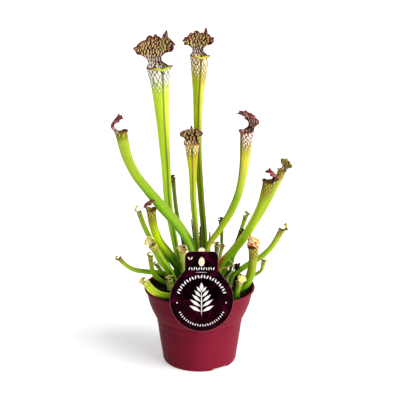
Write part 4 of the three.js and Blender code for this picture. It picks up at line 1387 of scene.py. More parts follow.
PITCHERS = (
    Pitcher("tall_left_pitcher", Size.LARGE, Skin.WINDOWED, (-18, 18, 3), (0.35, -0.94, 0), 1.5, 100,
            ((-27.5, 18.5, 130, 3.5), (-33.5, 18.5, 170, 4.4), (-36, 19, 213, 5), (-39, 19.5, 261, 6.8),
             (-41, 20, 295, 9.3), (-42.5, 20, 317, 13)),
            Hood(wide=1.06, wave=1.1, phase=0.4, point=-0.58)),
    Pitcher("tall_right_pitcher", Size.LARGE, Skin.WINDOWED_WARM, (6, 28, 2.8), (0.19, -0.98, 0), 1.5, 85,
            ((5.5, 28.5, 126, 3.3), (2, 28.5, 172, 3.4), (-1.5, 29, 228, 3.9), (-1.5, 29.5, 282, 5.3),
             (-0.5, 30, 308, 8), (0, 30, 328, 10)),
            Hood(phase=2.1, point=-0.5)),
    Pitcher("middle_pitcher", Size.LARGE, Skin.MIDDLE, (0, 9, 2.4), (0.05, -1, 0), 1.2, 55,
            ((-3, 4.5, 134, 2.7), (-6.5, 1, 179, 3.3), (-7, -1, 207, 4), (-7.5, -2.5, 223, 5.4),
             (-8, -4, 241, 7.6)),
            Hood(tall=0.85, phase=1.2, neck=1.6)),
    Pitcher("left_curved_pitcher", Size.LARGE, Skin.MAROON_RIBBON, (-5, -3, 2.6), (1, -0.1, 0.2), 3.6, 60,
            ((-9, -4, 126, 3.4), (-21, -4, 148, 3.7), (-40.5, -4.5, 172, 4.1), (-55.5, -5, 191.5, 4.1),
             (-67, -5, 208, 4.4), (-76, -5.5, 229, 5.2), (-81, -6, 254, 6.4)),
            Hood(wide=0.95, phase=0.9, lean=0.3)),
    Pitcher("right_curved_pitcher", Size.LARGE, Skin.MAROON_WINDOWED, (5, 0, 2.2), (-0.75, -0.65, 0.2), 1.4,
            60, ((9, -3, 128, 2.7), (21.5, -4, 148, 3.3), (34, -5, 170, 3.9), (42, -6.5, 192, 4.1),
             (46, -8, 217, 4.8), (48.5, -10, 255, 7.2)),
            Hood(tall=1.2, wide=1.05, phase=2.6, lean=0.6, neck=1.2)),
    Pitcher("right_pitcher", Size.LARGE, Skin.RED_RIBBED, (16, 3, 2.8), (-0.8, -0.5, 0.35), 3, 45,
            ((26, 1.5, 110, 3.5), (38, 1, 124, 3.9), (53, 0, 146, 4.1), (63.5, -0.5, 169, 4),
             (70.5, -1.5, 191, 5.4), (73, -2, 200, 6.4)),
            Hood(tall=0.8, wide=0.6, wave=0.6, phase=0.2, lean=0.7)),
    Pitcher("left_thick_pitcher", Size.MIDDLING, Skin.DARK_MOUTH, (-17, 3, 3), (0.9, -0.35, 0.2), 2.5, 30,
            ((-23, -2, 104, 4.4), (-35, -6.5, 123.5, 4.7), (-43.5, -10.5, 138, 4.4), (-48.5, -15, 156, 4.4),
             (-50.5, -18, 174, 5)),
            Hood(tall=0.85, wide=0.7, phase=1.7, lean=0.5)),
    Pitcher("front_right_pitcher", Size.MIDDLING, Skin.PINK_NET, (40.5, -12, 2.8), (-0.95, 0.25, 0.1), 2, 22,
            ((50, -13, 89, 3.6), (55, -13.5, 100, 3.9), (57, -15, 118, 4.4), (57, -16, 132, 5.6)),
            Hood(tall=0.85, wide=1.2, wave=0.4, phase=0.5, lean=0.8, droop=0.9, neck=1.5)),
    Pitcher("left_lower_pitcher", Size.MIDDLING, Skin.CREAM, (-23, -7, 2.6), (0.5, -0.85, 0.1), 2.5, 18,
            ((-33, -16, 107, 4.2), (-40, -21, 119, 4.3), (-45.5, -25.5, 131.5, 4), (-49, -27, 138, 4.6)),
            Hood(tall=0.9, wide=0.8, phase=2.2, droop=0.9)),
    Pitcher("right_back_pitcher", Size.MIDDLING, Skin.OLIVE, (21.5, 23, 2.2), (-0.5, -0.85, 0.2), 1.5, 20,
            ((42.5, 23.5, 119.5, 2.7), (62, 24, 149, 2.7), (76.5, 25, 175, 2.8), (83, 25, 190, 3.5),
             (89, 25, 206, 4.6)),
            Hood(tall=1.15, wave=0.6, phase=1.1, neck=1.2)),
    Pitcher("far_right_pitcher", Size.SMALL, Skin.TAN, (31.5, 25, 2.3), (-1, -0.3, 0.3), 1.5, 9,
            ((40.5, 23, 89.5, 2.7), (53.5, 22, 99.5, 2.8), (69, 20.5, 110.5, 2.9), (79.5, 18.5, 122.5, 3),
             (89.5, 16, 141.5, 3.4)),
            Hood(wide=0.6)),
    Pitcher("left_thin_pitcher", Size.SMALL, Skin.CREAM, (-28, 38, 1.9), (1, -0.3, 0.2), 1, 7,
            ((-42, 34.5, 106, 2.3), (-55, 32, 127.5, 2.4), (-61.5, 30, 143, 2.7), (-66.5, 28, 158.5, 2.7)),
            Hood(tall=1.15, wide=0.7, lean=0.4)),
    Pitcher("far_left_pitcher", Size.SMALL, Skin.TAN, (-28, 16, 2), (1, -0.2, 0.6), 1, 6,
            ((-38, 11, 93, 2.3), (-54.5, 11, 95, 2.5), (-71, 10, 98, 2.4), (-79.5, 8.5, 103.5, 2.2),
             (-87, 6, 112, 2.5)),
            Hood(tall=0.7, wide=0.6)),
    Pitcher("small_left_pitcher", Size.SMALL, Skin.CREAM, (-30, 5, 2.1), (0.8, -0.6, 0.2), 0.8, 6,
            ((-42, 3.5, 88, 2.5), (-49, 2.5, 95, 2.6), (-52.5, 1, 109, 2.5), (-53, 0, 116.5, 2.7)),
            Hood(tall=0.8, wide=0.7)),
    Pitcher("rim_pitcher", Size.SMALL, Skin.LIME, (-20, -32, 2.8), (0.3, -0.7, 0.8), 1, 8,
            ((-31, -31, 83, 3.4), (-40, -31, 84, 3.9), (-49.5, -30.5, 89.5, 4), (-57, -29, 98, 4)),
            Hood(tall=0.6, wide=0.7)),
    Pitcher("low_left_pitcher", Size.SMALL, Skin.CREAM, (-26, -24.5, 2), (0.2, -1, 0.1), 0.6, 5,
            ((-29, -26, 90, 2.3), (-31, -27, 100, 2.7)), Hood(tall=0.7)),
    Pitcher("upper_left_bud", Size.SMALL, Skin.CREAM, (-37, 30, 1.8), (0.7, -0.7, 0.2), 0.6, 5,
            ((-43, 27, 91.5, 2), (-48, 26, 98.5, 2.3)), Hood(tall=0.7, wide=0.8)),
    Pitcher("low_right_pitcher", Size.SMALL, Skin.CREAM, (37, -30, 2.2), (-0.6, 0.8, 0.1), 0.8, 8,
            ((40.5, -32, 91.5, 2.8), (42, -33, 99.5, 3.6)), Hood(tall=0.95, wide=0.9, neck=1.4)),
    Pitcher("short_right_pitcher", Size.SMALL, Skin.CREAM, (42, 22, 1.6), (-0.9, -0.4, 0.3), 0.6, 5,
            ((50, 19.5, 84, 1.8), (58.5, 16, 89, 1.8), (67.5, 11, 97, 1.9), (70, 8, 109, 2.5)),
            Hood(tall=0.7, wide=0.8)),
    Pitcher("orange_lip_pitcher", Size.SMALL, Skin.ORANGE, (-15.5, -8, 2), (0.6, -0.8, 0.2), 0.8, 10,
            ((-16, -10, 105, 2.2), (-17, -11.5, 118.5, 2.8), (-18, -12, 127.5, 4.5)),
            Hood(tall=0.5, wide=0.8)),
    Pitcher("pale_back_pitcher", Size.SMALL, Skin.CREAM, (16, 32, 1.8), (0.2, -1, 0.2), 0.6, 6,
            ((18.5, 31, 102, 2), (19, 30.5, 112, 2.3), (19.5, 30, 120, 3.2)), Hood(tall=0.45)),
    Pitcher("orange_pale_pitcher", Size.SMALL, Skin.ORANGE, (21, 14, 1.6), (-0.7, -0.7, 0.2), 0.5, 5,
            ((22, 12.5, 104, 1.8), (23, 12.5, 116.5, 1.9), (25, 12, 124, 2.3)), Hood(tall=0.5, wide=0.8)),
    Pitcher("dark_back_pitcher", Size.SMALL, Skin.DARK, (-14, 38, 1.8), (0.3, -0.95, 0), 0.6, 6,
            ((-18.5, 39, 123, 2.2), (-25, 39.5, 153, 2.2), (-28, 40, 180.5, 2.2), (-29, 40, 194, 2.5)),
            Hood(tall=0.6, wide=0.7)),
    Pitcher("brown_top_pitcher", Size.SMALL, Skin.DARK, (20, 42, 1.6), (-0.3, -0.95, 0), 0.5, 6,
            ((24, 42, 105, 1.7), (25, 42, 127, 1.8), (24, 42, 145, 2.8)), Hood(tall=0.5, wide=0.9)),
    Pitcher("pale_right_back_pitcher", Size.SMALL, Skin.CREAM, (33, 36, 1.7), (-0.6, -0.8, 0), 0.5, 6,
            ((43, 40, 124, 1.9), (49.5, 42, 143, 2.3), (51.5, 42.5, 150, 2.7)), Hood(tall=0.8)),
    Pitcher("purple_pitcher", Size.SMALL, Skin.DARK, (27, 31, 1.6), (-0.6, -0.8, 0.1), 0.4, 6,
            ((37.5, 31.5, 114, 1.6), (42.5, 31, 128, 1.7), (46, 31, 135, 2.6)), Hood(tall=0.6, wide=0.9)),
)


# ---- Withered leaves ----


@dataclass
class Withered:
    """A thin, folded or ragged leaf that narrows to its tip.

    It runs from its foot through points, and half is its half width and half thickness.
    """

    name: str
    finish: DryFinish
    foot: Pair
    run: tuple[Triple, ...]
    half: Pair
    ragged: float = 0.0
    around: int = 14
    along: int = 44

    def build(self) -> None:
        """Build the leaf and hand it in for its solid."""
        seed = random.Random(self.name)
        base = Vector((*self.foot, MIX_LEVEL - FOOT_DEPTH))
        points = [Vector((*self.foot, MIX_LEVEL + COLLAR)), *(Vector(p) for p in self.run)]
        nicks = [seed.uniform(-1, 1) for _ in range(self.along + 1)]
        widest, thickest = self.half

        def place(i: int, j: int) -> Vector:
            """Point of the leaf's skin.

            Args:
                i: the column round the leaf.
                j: the row along it.

            Returns:
                The point, in millimetres.
            """
            turn = TURN * i / self.around
            share = max(0.0, (j - 1) / (self.along - 1))
            at = base if j == 0 else spline(points, share)
            along = UP if j < 2 else heading(points, share)
            side = (Vector((1, 0, 0)) - along * along.x).normalized()
            out = along.cross(side)
            nick = 1 + self.ragged * nicks[j] * smoothstep(0.15, 0.4, share)
            wide = lerp(thickest, widest, smoothstep(0, 0.3, share)) * (1 - 0.6 * share ** 3) * nick
            thick = thickest * (1 - 0.3 * share)
            if j == self.along:
                wide = thick = 0.0
            fold = 0.35 * thick * math.cos(2 * turn)
            return at + side * wide * math.cos(turn) + out * (thick * math.sin(turn) + fold)

        piece = Sheet(f"{self.name}_sheet", self.around, self.along).build(place)
        Bench.dress(piece, f"{self.name}_dry", self.finish.material(), 60.0)
        Bench.hand_in(piece, self.name, "withered_leaf")


WITHERED = (
    Withered("yellow_thin_leaf", DryFinish("yellowed_leaf", (206, 190, 84), (150, 128, 44)), (10, 38),
             ((11, 37, 118), (11.7, 36, 134)), (1.5, 0.6)),
    Withered("withered_dark_leaf", DryFinish("browned_leaf", (92, 62, 40), (44, 30, 22)), (0, 20),
             ((1, 18, 129), (0.8, 17, 146)), (1.6, 0.6), ragged=0.45),
    Withered("dark_thin_tip", DryFinish("dark_tip", (104, 58, 38), (60, 38, 26)), (-4, 20),
             ((-5, 20, 120), (-6.5, 20, 132), (-9, 20, 154)), (1.2, 0.6), ragged=0.2),
    Withered("dry_orange_leaf", DryFinish("orange_dry_leaf", (206, 138, 86), (150, 92, 52)), (14, -21),
             ((17, -20.5, 96), (21, -20, 108), (28, -20.5, 111), (34, -21, 114)), (1.1, 0.6)),
    Withered("pale_tendril", DryFinish("pale_tendril_skin", (206, 204, 128), (150, 160, 70)), (29, -9),
             ((31, -7.5, 96.5), (36.5, -8, 105), (34.5, -9, 113), (31, -9, 116)), (0.8, 0.6)),
)


@dataclass
class Tuft:
    """Young leaves: narrow blades that stand in the mix between the pitchers."""

    name: str
    finish: DryFinish
    blades: tuple[tuple[float, ...], ...]
    half: Pair = (1.5, 0.5)
    around: int = 8
    along: int = 14

    def blade(self, index: int) -> Piece:
        """One blade: it stands up out of the mix, leans over and ends in a point.

        Args:
            index: its place in the blades, each one foot x, y, lean x, y and height.

        Returns:
            The blade.
        """
        x, y, lean_x, lean_y, height = self.blades[index]
        base = MIX_LEVEL - 2
        points = [Vector((x + lean_x * t * t, y + lean_y * t * t, base + (height - base) * t))
                  for t in (0.0, 0.35, 0.7, 1.0)]
        face = Vector((0.3 * math.sin(2.3 * index), -1, 0.2)).normalized()
        across = face.cross(UP).normalized()

        def place(i: int, j: int) -> Vector:
            """Point of the blade's skin.

            Args:
                i: the column round the blade.
                j: the row along it.

            Returns:
                The point, in millimetres.
            """
            turn, share = TURN * i / self.around, j / self.along
            full = 0.0 if j in (0, self.along) else 1.0
            wide = self.half[0] * (1 - share ** 2.2) * full
            thick = self.half[1] * (1 - 0.6 * share) * full
            fold = 0.3 * thick * math.cos(2 * turn)
            out = across * wide * math.cos(turn)
            return spline(points, share) + out + face * (thick * math.sin(turn) + fold)

        return Sheet(f"{self.name}_{index}", self.around, self.along).build(place)

    def build(self) -> None:
        """Build the blades as one piece and hand it in."""
        piece = Bench.join([self.blade(index) for index in range(len(self.blades))])
        Bench.dress(piece, self.name, self.finish.material(), 60.0)
        Bench.hand_in(piece, None, "pitcher_leaf")


TUFTS = (
    Tuft("green_young_leaves", DryFinish("young_leaf", (156, 190, 52), (86, 128, 28)),
         ((-10, 2, -6, -2, 112), (-13, -3, -9, -3, 106), (-24, 10, -8, -2, 104), (-30, 12, -9, -6, 98),
          (-8, 12, -3, 0, 120), (10, 16, 4, 0, 112), (24, -4, 7, -3, 100), (34, 10, 8, 0, 98),
          (-20, -2, -7, -6, 98), (20, 22, 5, 2, 108))),
    Tuft("pale_sheaths", DryFinish("sheath_skin", (226, 216, 158), (172, 172, 92)),
         ((-20, 6, -3, -3, 97), (-14, 8, 2, -3, 103), (14, 8, -2, -2, 104), (-33, 2, -4, -3, 90),
          (22, -12, 4, -2, 92)), half=(1.8, 0.6)),
)


# ---- Pot and mix ----


@dataclass
class NurseryPot:
    """Tapered nursery pot with a flared rim band, a ledge below it, a rounded foot and drainage notches.

    Its outside and its inside are rows of radius and height, up and then down again.
    """

    sides: int = 144
    outside: tuple[Pair, ...] = (
        (38.4, 0.0), (39.5, 0.6), (40.1, 1.6), (40.4, 3.0), (40.3, 3.5), (40.5, 4.2), (41.0, 8.0),
        (43.8, 27.0), (45.6, 41.0), (46.0, 44.6), (46.5, 45.2), (46.6, 49.0), (47.0, 50.9), (48.3, 51.9),
        (48.8, 52.5), (49.0, 53.2), (51.6, 58.5), (54.6, 66.5), (56.4, 74.0), (57.3, 79.5), (58.0, 80.9),
        (59.3, 81.3), (59.8, 81.9), (60.0, 82.6), (59.8, 83.5), (59.4, 83.9), (59.0, 84.0))
    inside: tuple[Pair, ...] = (
        (58.6, 83.9), (58.2, 83.6), (56.6, 80.6), (55.9, 79.0), (54.8, 73.0), (50.0, 58.5), (46.0, 53.5),
        (45.1, 48.0), (39.6, 8.0), (36.5, 4.2), (12.0, 4.2))
    notches: int = 3
    notch_at: float = -56.0
    notch_width: float = 22.0
    notch_height: float = 2.8
    notch_slope: float = 3.0
    notch_inside: float = 32.0
    notch_outside: float = 46.6
    edge_round: float = 0.25

    def build(self) -> None:
        """Build the pot and hand it in for its solid."""
        Bench.clear()
        radius, height = self.outside[0]
        bpy.ops.mesh.primitive_circle_add(vertices=self.sides, radius=radius * MM, fill_type="NGON",
                                          location=(0, 0, height * MM))
        piece = Bench.take("pot")
        Bench.settle(piece)
        Bench.edit(piece)
        bpy.ops.mesh.select_mode(type="FACE")
        for (r0, z0), (r1, z1) in zip(self.outside + self.inside, self.outside[1:] + self.inside):
            bpy.ops.mesh.extrude_region_move(TRANSFORM_OT_translate={"value": (0, 0, (z1 - z0) * MM)})
            scale = r1 / r0
            bpy.ops.transform.resize(value=(scale, scale, 1), center_override=(0, 0, 0))
        Bench.done()
        Bench.weld(piece)
        Bench.order(piece)
        for index in range(self.notches):
            Bench.cut(piece, self.notch(self.notch_at + 360 * index / self.notches))
        Bench.weld(piece)
        Bench.soften(piece, self.edge_round)
        Bench.dress(piece, "burgundy_pot", PotFinish().material(), 40.0)
        Bench.hand_in(piece, "nursery_pot", "pot_plastic")

    def notch(self, degrees: float) -> Piece:
        """Block with slanted sides that cuts one drainage notch.

        Args:
            degrees: where it stands about the pot's axis.

        Returns:
            The block.
        """
        block = Bench.block("notch_block", (0, 0, 0), (1, 1, 1))
        half = self.notch_width / 2
        for vertex in block.data.vertices:
            x, y, z = vertex.co
            vertex.co = Vector((
                (self.notch_outside if x > 0 else self.notch_inside) * MM,
                math.copysign(half - self.notch_slope if z > 0 else half, y) * MM,
                (self.notch_height if z > 0 else -GAP) * MM,
            ))
        block.rotation_euler = (0, 0, math.radians(degrees))
        Bench.settle(block)
        return block


@dataclass
class PottingMix:
    """Damp peat: a lumpy top with crumbs and fibres, and a small spire of crumbs at its side.

    Its wall is rows of radius and height. Each crumb of the spire has a place from its foot and a size. The
    reaches are how far out crumbs and fibres lie, as shares of the mix's radius. Pairs are least and most.
    """

    crumbs: int = 520
    crumb_reach: float = 0.97
    crumb_radius: Pair = (0.5, 2.0)
    fibres: int = 46
    fibre_reach: float = 0.9
    fibre_length: Pair = (5.0, 13.0)
    fibre_radius: Pair = (0.16, 0.34)
    turns_back_at: float = 0.96
    seed: int = 4
    wall: tuple[Pair, ...] = (
        (0.0, 8.3), (38.9, 8.3), (44.5, 48.0), (45.4, 53.8), (49.4, 58.8), (53.2, 70.0))
    spire: Triple = (41, 21.5, 95.5)
    spire_crumbs: tuple[tuple[float, ...], ...] = (
        (0, 0, 0, 3.2), (2.4, -0.5, 1.5, 2.6), (-2, 1, 1, 2.4), (0.5, 0, 3.4, 2.6), (2.6, 0, 4.6, 2.2),
        (-1.2, 0.5, 4.4, 1.8))

    def height(self, x: float, y: float) -> float:
        """Height of the mix, with the mounds of its solid and finer grains.

        Args:
            x: place to the side.
            y: place to the back.

        Returns:
            The height, in millimetres.
        """
        mounds = math.sin(x * 0.13 + 1.1) * math.cos(y * 0.11 - 0.4)
        lumps = 0.6 * math.sin(x * 0.41 + y * 0.23) * math.cos(y * 0.47 - x * 0.19)
        grains = 0.45 * math.sin(x * 1.3 + 2 * math.sin(y * 0.9)) * math.cos(y * 1.1 + x * 0.5)
        return MIX_LEVEL + 1.3 * (mounds + lumps) + grains

    def bed(self) -> Piece:
        """The closed body of the mix, its top a fine disc of rings.

        Returns:
            The bed.
        """
        around, rings = 120, 46
        first = len(self.wall)

        def place(i: int, j: int) -> Vector:
            """Point of the bed.

            Args:
                i: the column round the mix.
                j: the row, up its side and then in over its top.

            Returns:
                The point, in millimetres.
            """
            turn = TURN * i / around
            radius, height = self.wall[j] if j < first else (MIX_RADIUS * (1 - (j - first) / rings), None)
            x, y = radius * math.cos(turn), radius * math.sin(turn)
            return Vector((x, y, self.height(x, y) if height is None else height))

        sheet = Sheet("bed", around, first + rings)
        return sheet.build(place, {"run": lambda i, j: (i / around, j / rings)})

    def spot(self, dice: random.Random, reach: float) -> Pair:
        """A random place on the mix.

        Args:
            dice: where chance comes from.
            reach: how far out it may lie, as a share of the mix's radius.

        Returns:
            Its x and y.
        """
        radius = MIX_RADIUS * reach * math.sqrt(dice.random())
        turn = TURN * dice.random()
        return radius * math.cos(turn), radius * math.sin(turn)

    def bits(self) -> list[Piece]:
        """Crumbs that lie on the mix, and its spire.

        Returns:
            The crumbs.
        """
        dice = random.Random(self.seed)
        Bench.clear()
        bpy.ops.mesh.primitive_ico_sphere_add(subdivisions=1, radius=1.0)
        model = Bench.take("crumb")
        made = []
        for _ in range(self.crumbs):
            x, y = self.spot(dice, self.crumb_reach)
            size = lerp(*self.crumb_radius, dice.random() ** 3)
            made.append(self.copy_of(model, dice, Vector((x, y, self.height(x, y) + 0.25 * size)), size))
        x, y, z = self.spire
        for dx, dy, dz, size in self.spire_crumbs:
            made.append(self.copy_of(model, dice, Vector((x + dx, y + dy, z + dz)), size))
        bpy.data.objects.remove(model)
        return made

    @staticmethod
    def copy_of(model: Piece, dice: random.Random, at: Vector, size: float) -> Piece:
        """A crumb with its own mesh, squashed and turned.

        Args:
            model: the ball that is copied.
            dice: where chance comes from.
            at: the crumb's middle.
            size: its radius.

        Returns:
            The crumb.
        """
        piece = model.copy()
        piece.data = model.data.copy()
        bpy.context.collection.objects.link(piece)
        stretch = Vector([size * dice.uniform(0.55, 1.25) for _ in range(3)])
        turn = Matrix.Rotation(TURN * dice.random(), 3, Vector([dice.uniform(-1, 1) for _ in range(3)]))
        for vertex in piece.data.vertices:
            knock = 1 + dice.uniform(-0.22, 0.22)
            vertex.co = (at + turn @ (vertex.co * stretch * knock)) * MM
        return piece

    def fibre(self, dice: random.Random) -> Piece:
        """A thin root or fibre that lies in a bow on the mix and turns back at its edge.

        Args:
            dice: where chance comes from.

        Returns:
            The fibre.
        """
        around, rows, steps = 4, 8, 4
        x, y = self.spot(dice, self.fibre_reach)
        course, bow = TURN * dice.random(), dice.uniform(-0.09, 0.09)
        length = dice.uniform(*self.fibre_length)
        points = []
        for k in range(steps + 1):
            points.append(Vector((x, y, self.height(x, y) + 0.5 + 0.9 * math.sin(math.pi * k / steps))))
            course += bow * length
            x, y = x + length / steps * math.cos(course), y + length / steps * math.sin(course)
            if math.hypot(x, y) > MIX_RADIUS * self.turns_back_at:
                course += math.pi * 0.6
                x, y = points[-1].x, points[-1].y
        thick = dice.uniform(*self.fibre_radius)

        def place(i: int, j: int) -> Vector:
            """Point of the fibre's skin.

            Args:
                i: the column round it.
                j: the row along it.

            Returns:
                The point, in millimetres.
            """
            share = j / rows
            along = heading(points, share, 0.02)
            side = along.cross(UP).normalized()
            slim = thick * (0.0 if j in (0, rows) else 1.0)
            turn = TURN * i / around
            out = side * slim * math.cos(turn)
            return spline(points, share) + out + side.cross(along) * slim * math.sin(turn)

        return Sheet("fibre", around, rows).build(place)

    def build(self) -> None:
        """Build the mix and its bits and hand them in."""
        bed = self.bed()
        Bench.dress(bed, "peat_bed", PeatFinish().material(), 70.0)
        Bench.hand_in(bed, "potting_mix", "potting_mix")

        crumbs = Bench.join(self.bits())
        crumb_skin = PeatFinish("peat_crumb_skin", (16, 10, 8), (52, 34, 24), (112, 82, 56))
        Bench.dress(crumbs, "peat_crumbs", crumb_skin.material())
        Bench.hand_in(crumbs, None, "potting_mix")

        dice = random.Random(self.seed + 1)
        fibres = Bench.join([self.fibre(dice) for _ in range(self.fibres)])
        fibre_skin = DryFinish("fibre_skin", (132, 96, 62), (66, 44, 30))
        Bench.dress(fibres, "peat_fibres", fibre_skin.material(), 80.0)
        Bench.hand_in(fibres, None, "potting_mix")


# ---- Label ----


@dataclass
class Label:
    """Round card with a tab, its plain print, and the stake that it hangs on.

    Card, print and stake are made flat on a drawing board, face up, with the disc's centre or the stake's
    foot at the origin, and then laid in their place.
    """

    radius: float = 32.5
    height: float = 82.0
    thickness: float = 0.9
    tab_half: float = 17.0
    tab_corner: float = 6.0
    fillet: float = 5.0
    lean: float = math.radians(13.2)
    x: float = 2.1
    hole_below_top: float = 10.3
    hole_half: Pair = (3.6, 5.2)
    rim_touch: float = 82.6
    touch_up: float = -7.3
    stake_width: float = 7.0
    stake_thickness: float = 2.0
    stake_above: float = 3.5
    stake_depth: float = 16.0
    stake_tip_half: float = 0.8
    peg_ahead: float = 1.6
    card_round: float = 0.3
    stake_round: float = 0.45
    bare_margin: float = 0.18
    through: float = 4.0
    ink_middle: float = 0.03
    ink_thickness: float = 0.08
    ring_share: float = 0.77
    ring_drop: float = 1.2
    tilt: float = math.radians(14)

    @property
    def tab_top(self) -> float:
        """Top of the tab above the disc's centre."""
        return self.height - self.radius

    def back(self, up: float) -> Pair:
        """Y and Z of the card's back at a distance up from the disc's centre."""
        along = up - self.touch_up
        return -RIM_RADIUS - GAP + along * math.sin(self.lean), self.rim_touch + along * math.cos(self.lean)

    def lay(self, piece: Piece) -> None:
        """Bring a piece from the drawing board to the card's place.

        Args:
            piece: the piece.
        """
        y, z = self.back(0.0)
        piece.matrix_world = (Matrix.Translation(Vector((self.x, y, z)) * MM)
                              @ Matrix.Rotation(math.pi / 2 - self.lean, 4, "X") @ piece.matrix_world)
        Bench.settle(piece)

    def round_corners(self, piece: Piece, above: float, radius: float) -> None:
        """Round the upright corners at the far end of a block.

        Args:
            piece: the block, on the board.
            above: how far up the board a corner lies at least.
            radius: the corners' radius.
        """
        points = piece.data.vertices

        def wanted(edge: Any) -> bool:
            """Whether both ends are above, one over the other."""
            a, b = (points[index].co for index in edge.vertices)
            return min(a.y, b.y) > above * MM and (a - b).xy.length < WELD

        Bench.pick(piece, Select.EDGE, wanted)
        bpy.ops.mesh.bevel(offset=radius * MM, segments=10, affect="EDGES")
        Bench.done()

    def card(self) -> Piece:
        """The card on the board: disc, tab, fillets and hole.

        Returns:
            The card.
        """
        middle = -self.thickness / 2
        card = Bench.drum("card_blank", (0, 0, middle), (self.radius, self.radius), self.thickness, 160)
        tab = Bench.block("tab", (0, self.tab_top / 2, middle),
                          (2 * self.tab_half, self.tab_top, self.thickness))
        self.round_corners(tab, self.tab_top - 1, self.tab_corner)
        Bench.cut(card, tab, "UNION")

        fillet_x = self.tab_half + self.fillet
        fillet_y = math.sqrt((self.radius + self.fillet) ** 2 - fillet_x ** 2)
        foot = Bench.block("tab_foot", (0, fillet_y / 2, middle), (2 * fillet_x, fillet_y, self.thickness))
        for side in (-1, 1):
            corner = (side * fillet_x, fillet_y, middle)
            Bench.cut(foot, Bench.drum("fillet", corner, (self.fillet, self.fillet), self.through))
            outside = (side * (fillet_x + 3), fillet_y - 5, middle)
            Bench.cut(foot, Bench.block("trim", outside, (6.0, 30.0, self.through)))
        inside = self.radius - 1.5
        Bench.cut(foot, Bench.drum("disc_trim", (0, 0, middle), (inside, inside), self.through, 160))
        Bench.cut(card, foot, "UNION")
        hole_y = self.tab_top - self.hole_below_top
        Bench.cut(card, Bench.drum("hole", (0, hole_y, middle), self.hole_half, self.through))
        Bench.weld(card)
        Bench.soften(card, self.card_round)
        Bench.pick(card, Select.FACE, lambda face: face.normal.z > 0.99)
        bpy.ops.mesh.inset(thickness=self.bare_margin * MM)
        Bench.done()
        self.mark_cut(card)
        return card

    def mark_cut(self, card: Piece) -> None:
        """Mark the cut edge and the bare margin in a UV map of its own, while the card lies flat.

        Args:
            card: the card, with only the printed part of its front selected.
        """
        Bench.strip_maps(card)
        mesh = card.data
        layer = mesh.uv_layers.new(name="cut")
        for polygon in mesh.polygons:
            value = 0.0 if polygon.select or polygon.normal.z < -0.9 else 1.0
            for loop in polygon.loop_indices:
                layer.data[loop].uv = (0.0, value)

    def pad(self, name: str, x: float, y: float, half: Pair, turn: float, point: float = 0.0) -> Piece:
        """A thin print pad on the board: an oval or a leaf shape.

        Args:
            name: its name.
            x: place across the board.
            y: place up the board.
            half: half length and half width.
            turn: turn of its length from x, in radians.
            point: how far its ends are drawn out, from 0 for an oval to 1.

        Returns:
            The pad.
        """
        piece = Bench.drum(name, (0, 0, self.ink_middle), half, self.ink_thickness, 28)
        for vertex in piece.data.vertices:
            share = vertex.co.x / (half[0] * MM)
            vertex.co.y *= 1 - point * abs(share) ** 1.5
        piece.matrix_world = Matrix.Translation((x * MM, y * MM, 0)) @ Matrix.Rotation(turn, 4, "Z")
        Bench.settle(piece)
        return piece

    def garland(self, first: float, last: float, count: int, half: Pair) -> list[Piece]:
        """Small leaves side by side along the ring, tilted to and fro.

        Args:
            first: where the row starts, in degrees about the disc's centre.
            last: where it ends.
            count: number of leaves.
            half: half length and half width of a leaf.

        Returns:
            The leaves.
        """
        ring = self.ring_share * self.radius
        pads = []
        for index in range(count):
            turn = math.radians(lerp(first, last, index / (count - 1)))
            tilt = self.tilt if index % 2 else -self.tilt
            at = (ring * math.cos(turn), ring * math.sin(turn) - self.ring_drop)
            pads.append(self.pad("ring_leaf", *at, half, turn + tilt, 0.5))
        return pads

    def sprig(self) -> list[Piece]:
        """The sprig in the middle of the disc: a stem, five pairs of leaves and a leaf at the tip.

        Returns:
            Its pads.
        """
        foot, top = -16.0, 10.0
        upright = math.pi / 2
        pads = [self.pad("stem", 0, (foot + top) / 2, ((top - foot) / 2, 0.5), upright, 0.3),
                self.pad("tip", 0, top + 3.4, (4.4, 1.9), upright, 0.9)]
        for index, length in enumerate((13.5, 13.5, 12.0, 10.0, 7.5)):
            root = foot + 3.5 + 4.9 * index
            half = (length / 2, 1.75 - 0.12 * index)
            for side in (-1, 1):
                turn = math.radians(90 - side * (62 - 6 * index))
                centre = Vector((math.cos(turn), math.sin(turn))) * (length / 2 + 0.7)
                pads.append(self.pad("leaflet", centre.x, root + centre.y, half, turn, 0.9))
        return pads

    def print_pads(self) -> list[Piece]:
        """Plain decoration: leaves along the ring, a sprig, and small leaves over a rule on the tab.

        Returns:
            The pads, not yet joined.
        """
        pads = [*self.garland(160, 20, 21, (1.95, 0.75)), *self.garland(208, 332, 22, (1.25, 0.55)),
                *self.sprig()]
        for side in (-1, 1):
            pads.append(self.pad("dot", side * self.ring_share * self.radius, -3.0, (0.7, 0.7), 0.0))
        row = self.tab_top - 17.6
        upright = math.pi / 2
        for index in range(11):
            turn = upright + (self.tilt if index % 2 else -self.tilt)
            pads.append(self.pad("row_leaf", 2.5 * index - 12.5, row, (1.6, 0.6), turn, 0.5))
        pads.append(self.pad("rule", 0, row - 3.8, (6.0, 0.16), 0.0))
        corner = Vector((5.5 - self.tab_half, self.tab_top - 7.0))
        for side in (-1, 1):
            turn = upright - 0.5 * side
            pads.append(self.pad("corner_leaf", corner.x + 1.4 * side, corner.y, (2.0, 0.7), turn, 0.9))
        return pads

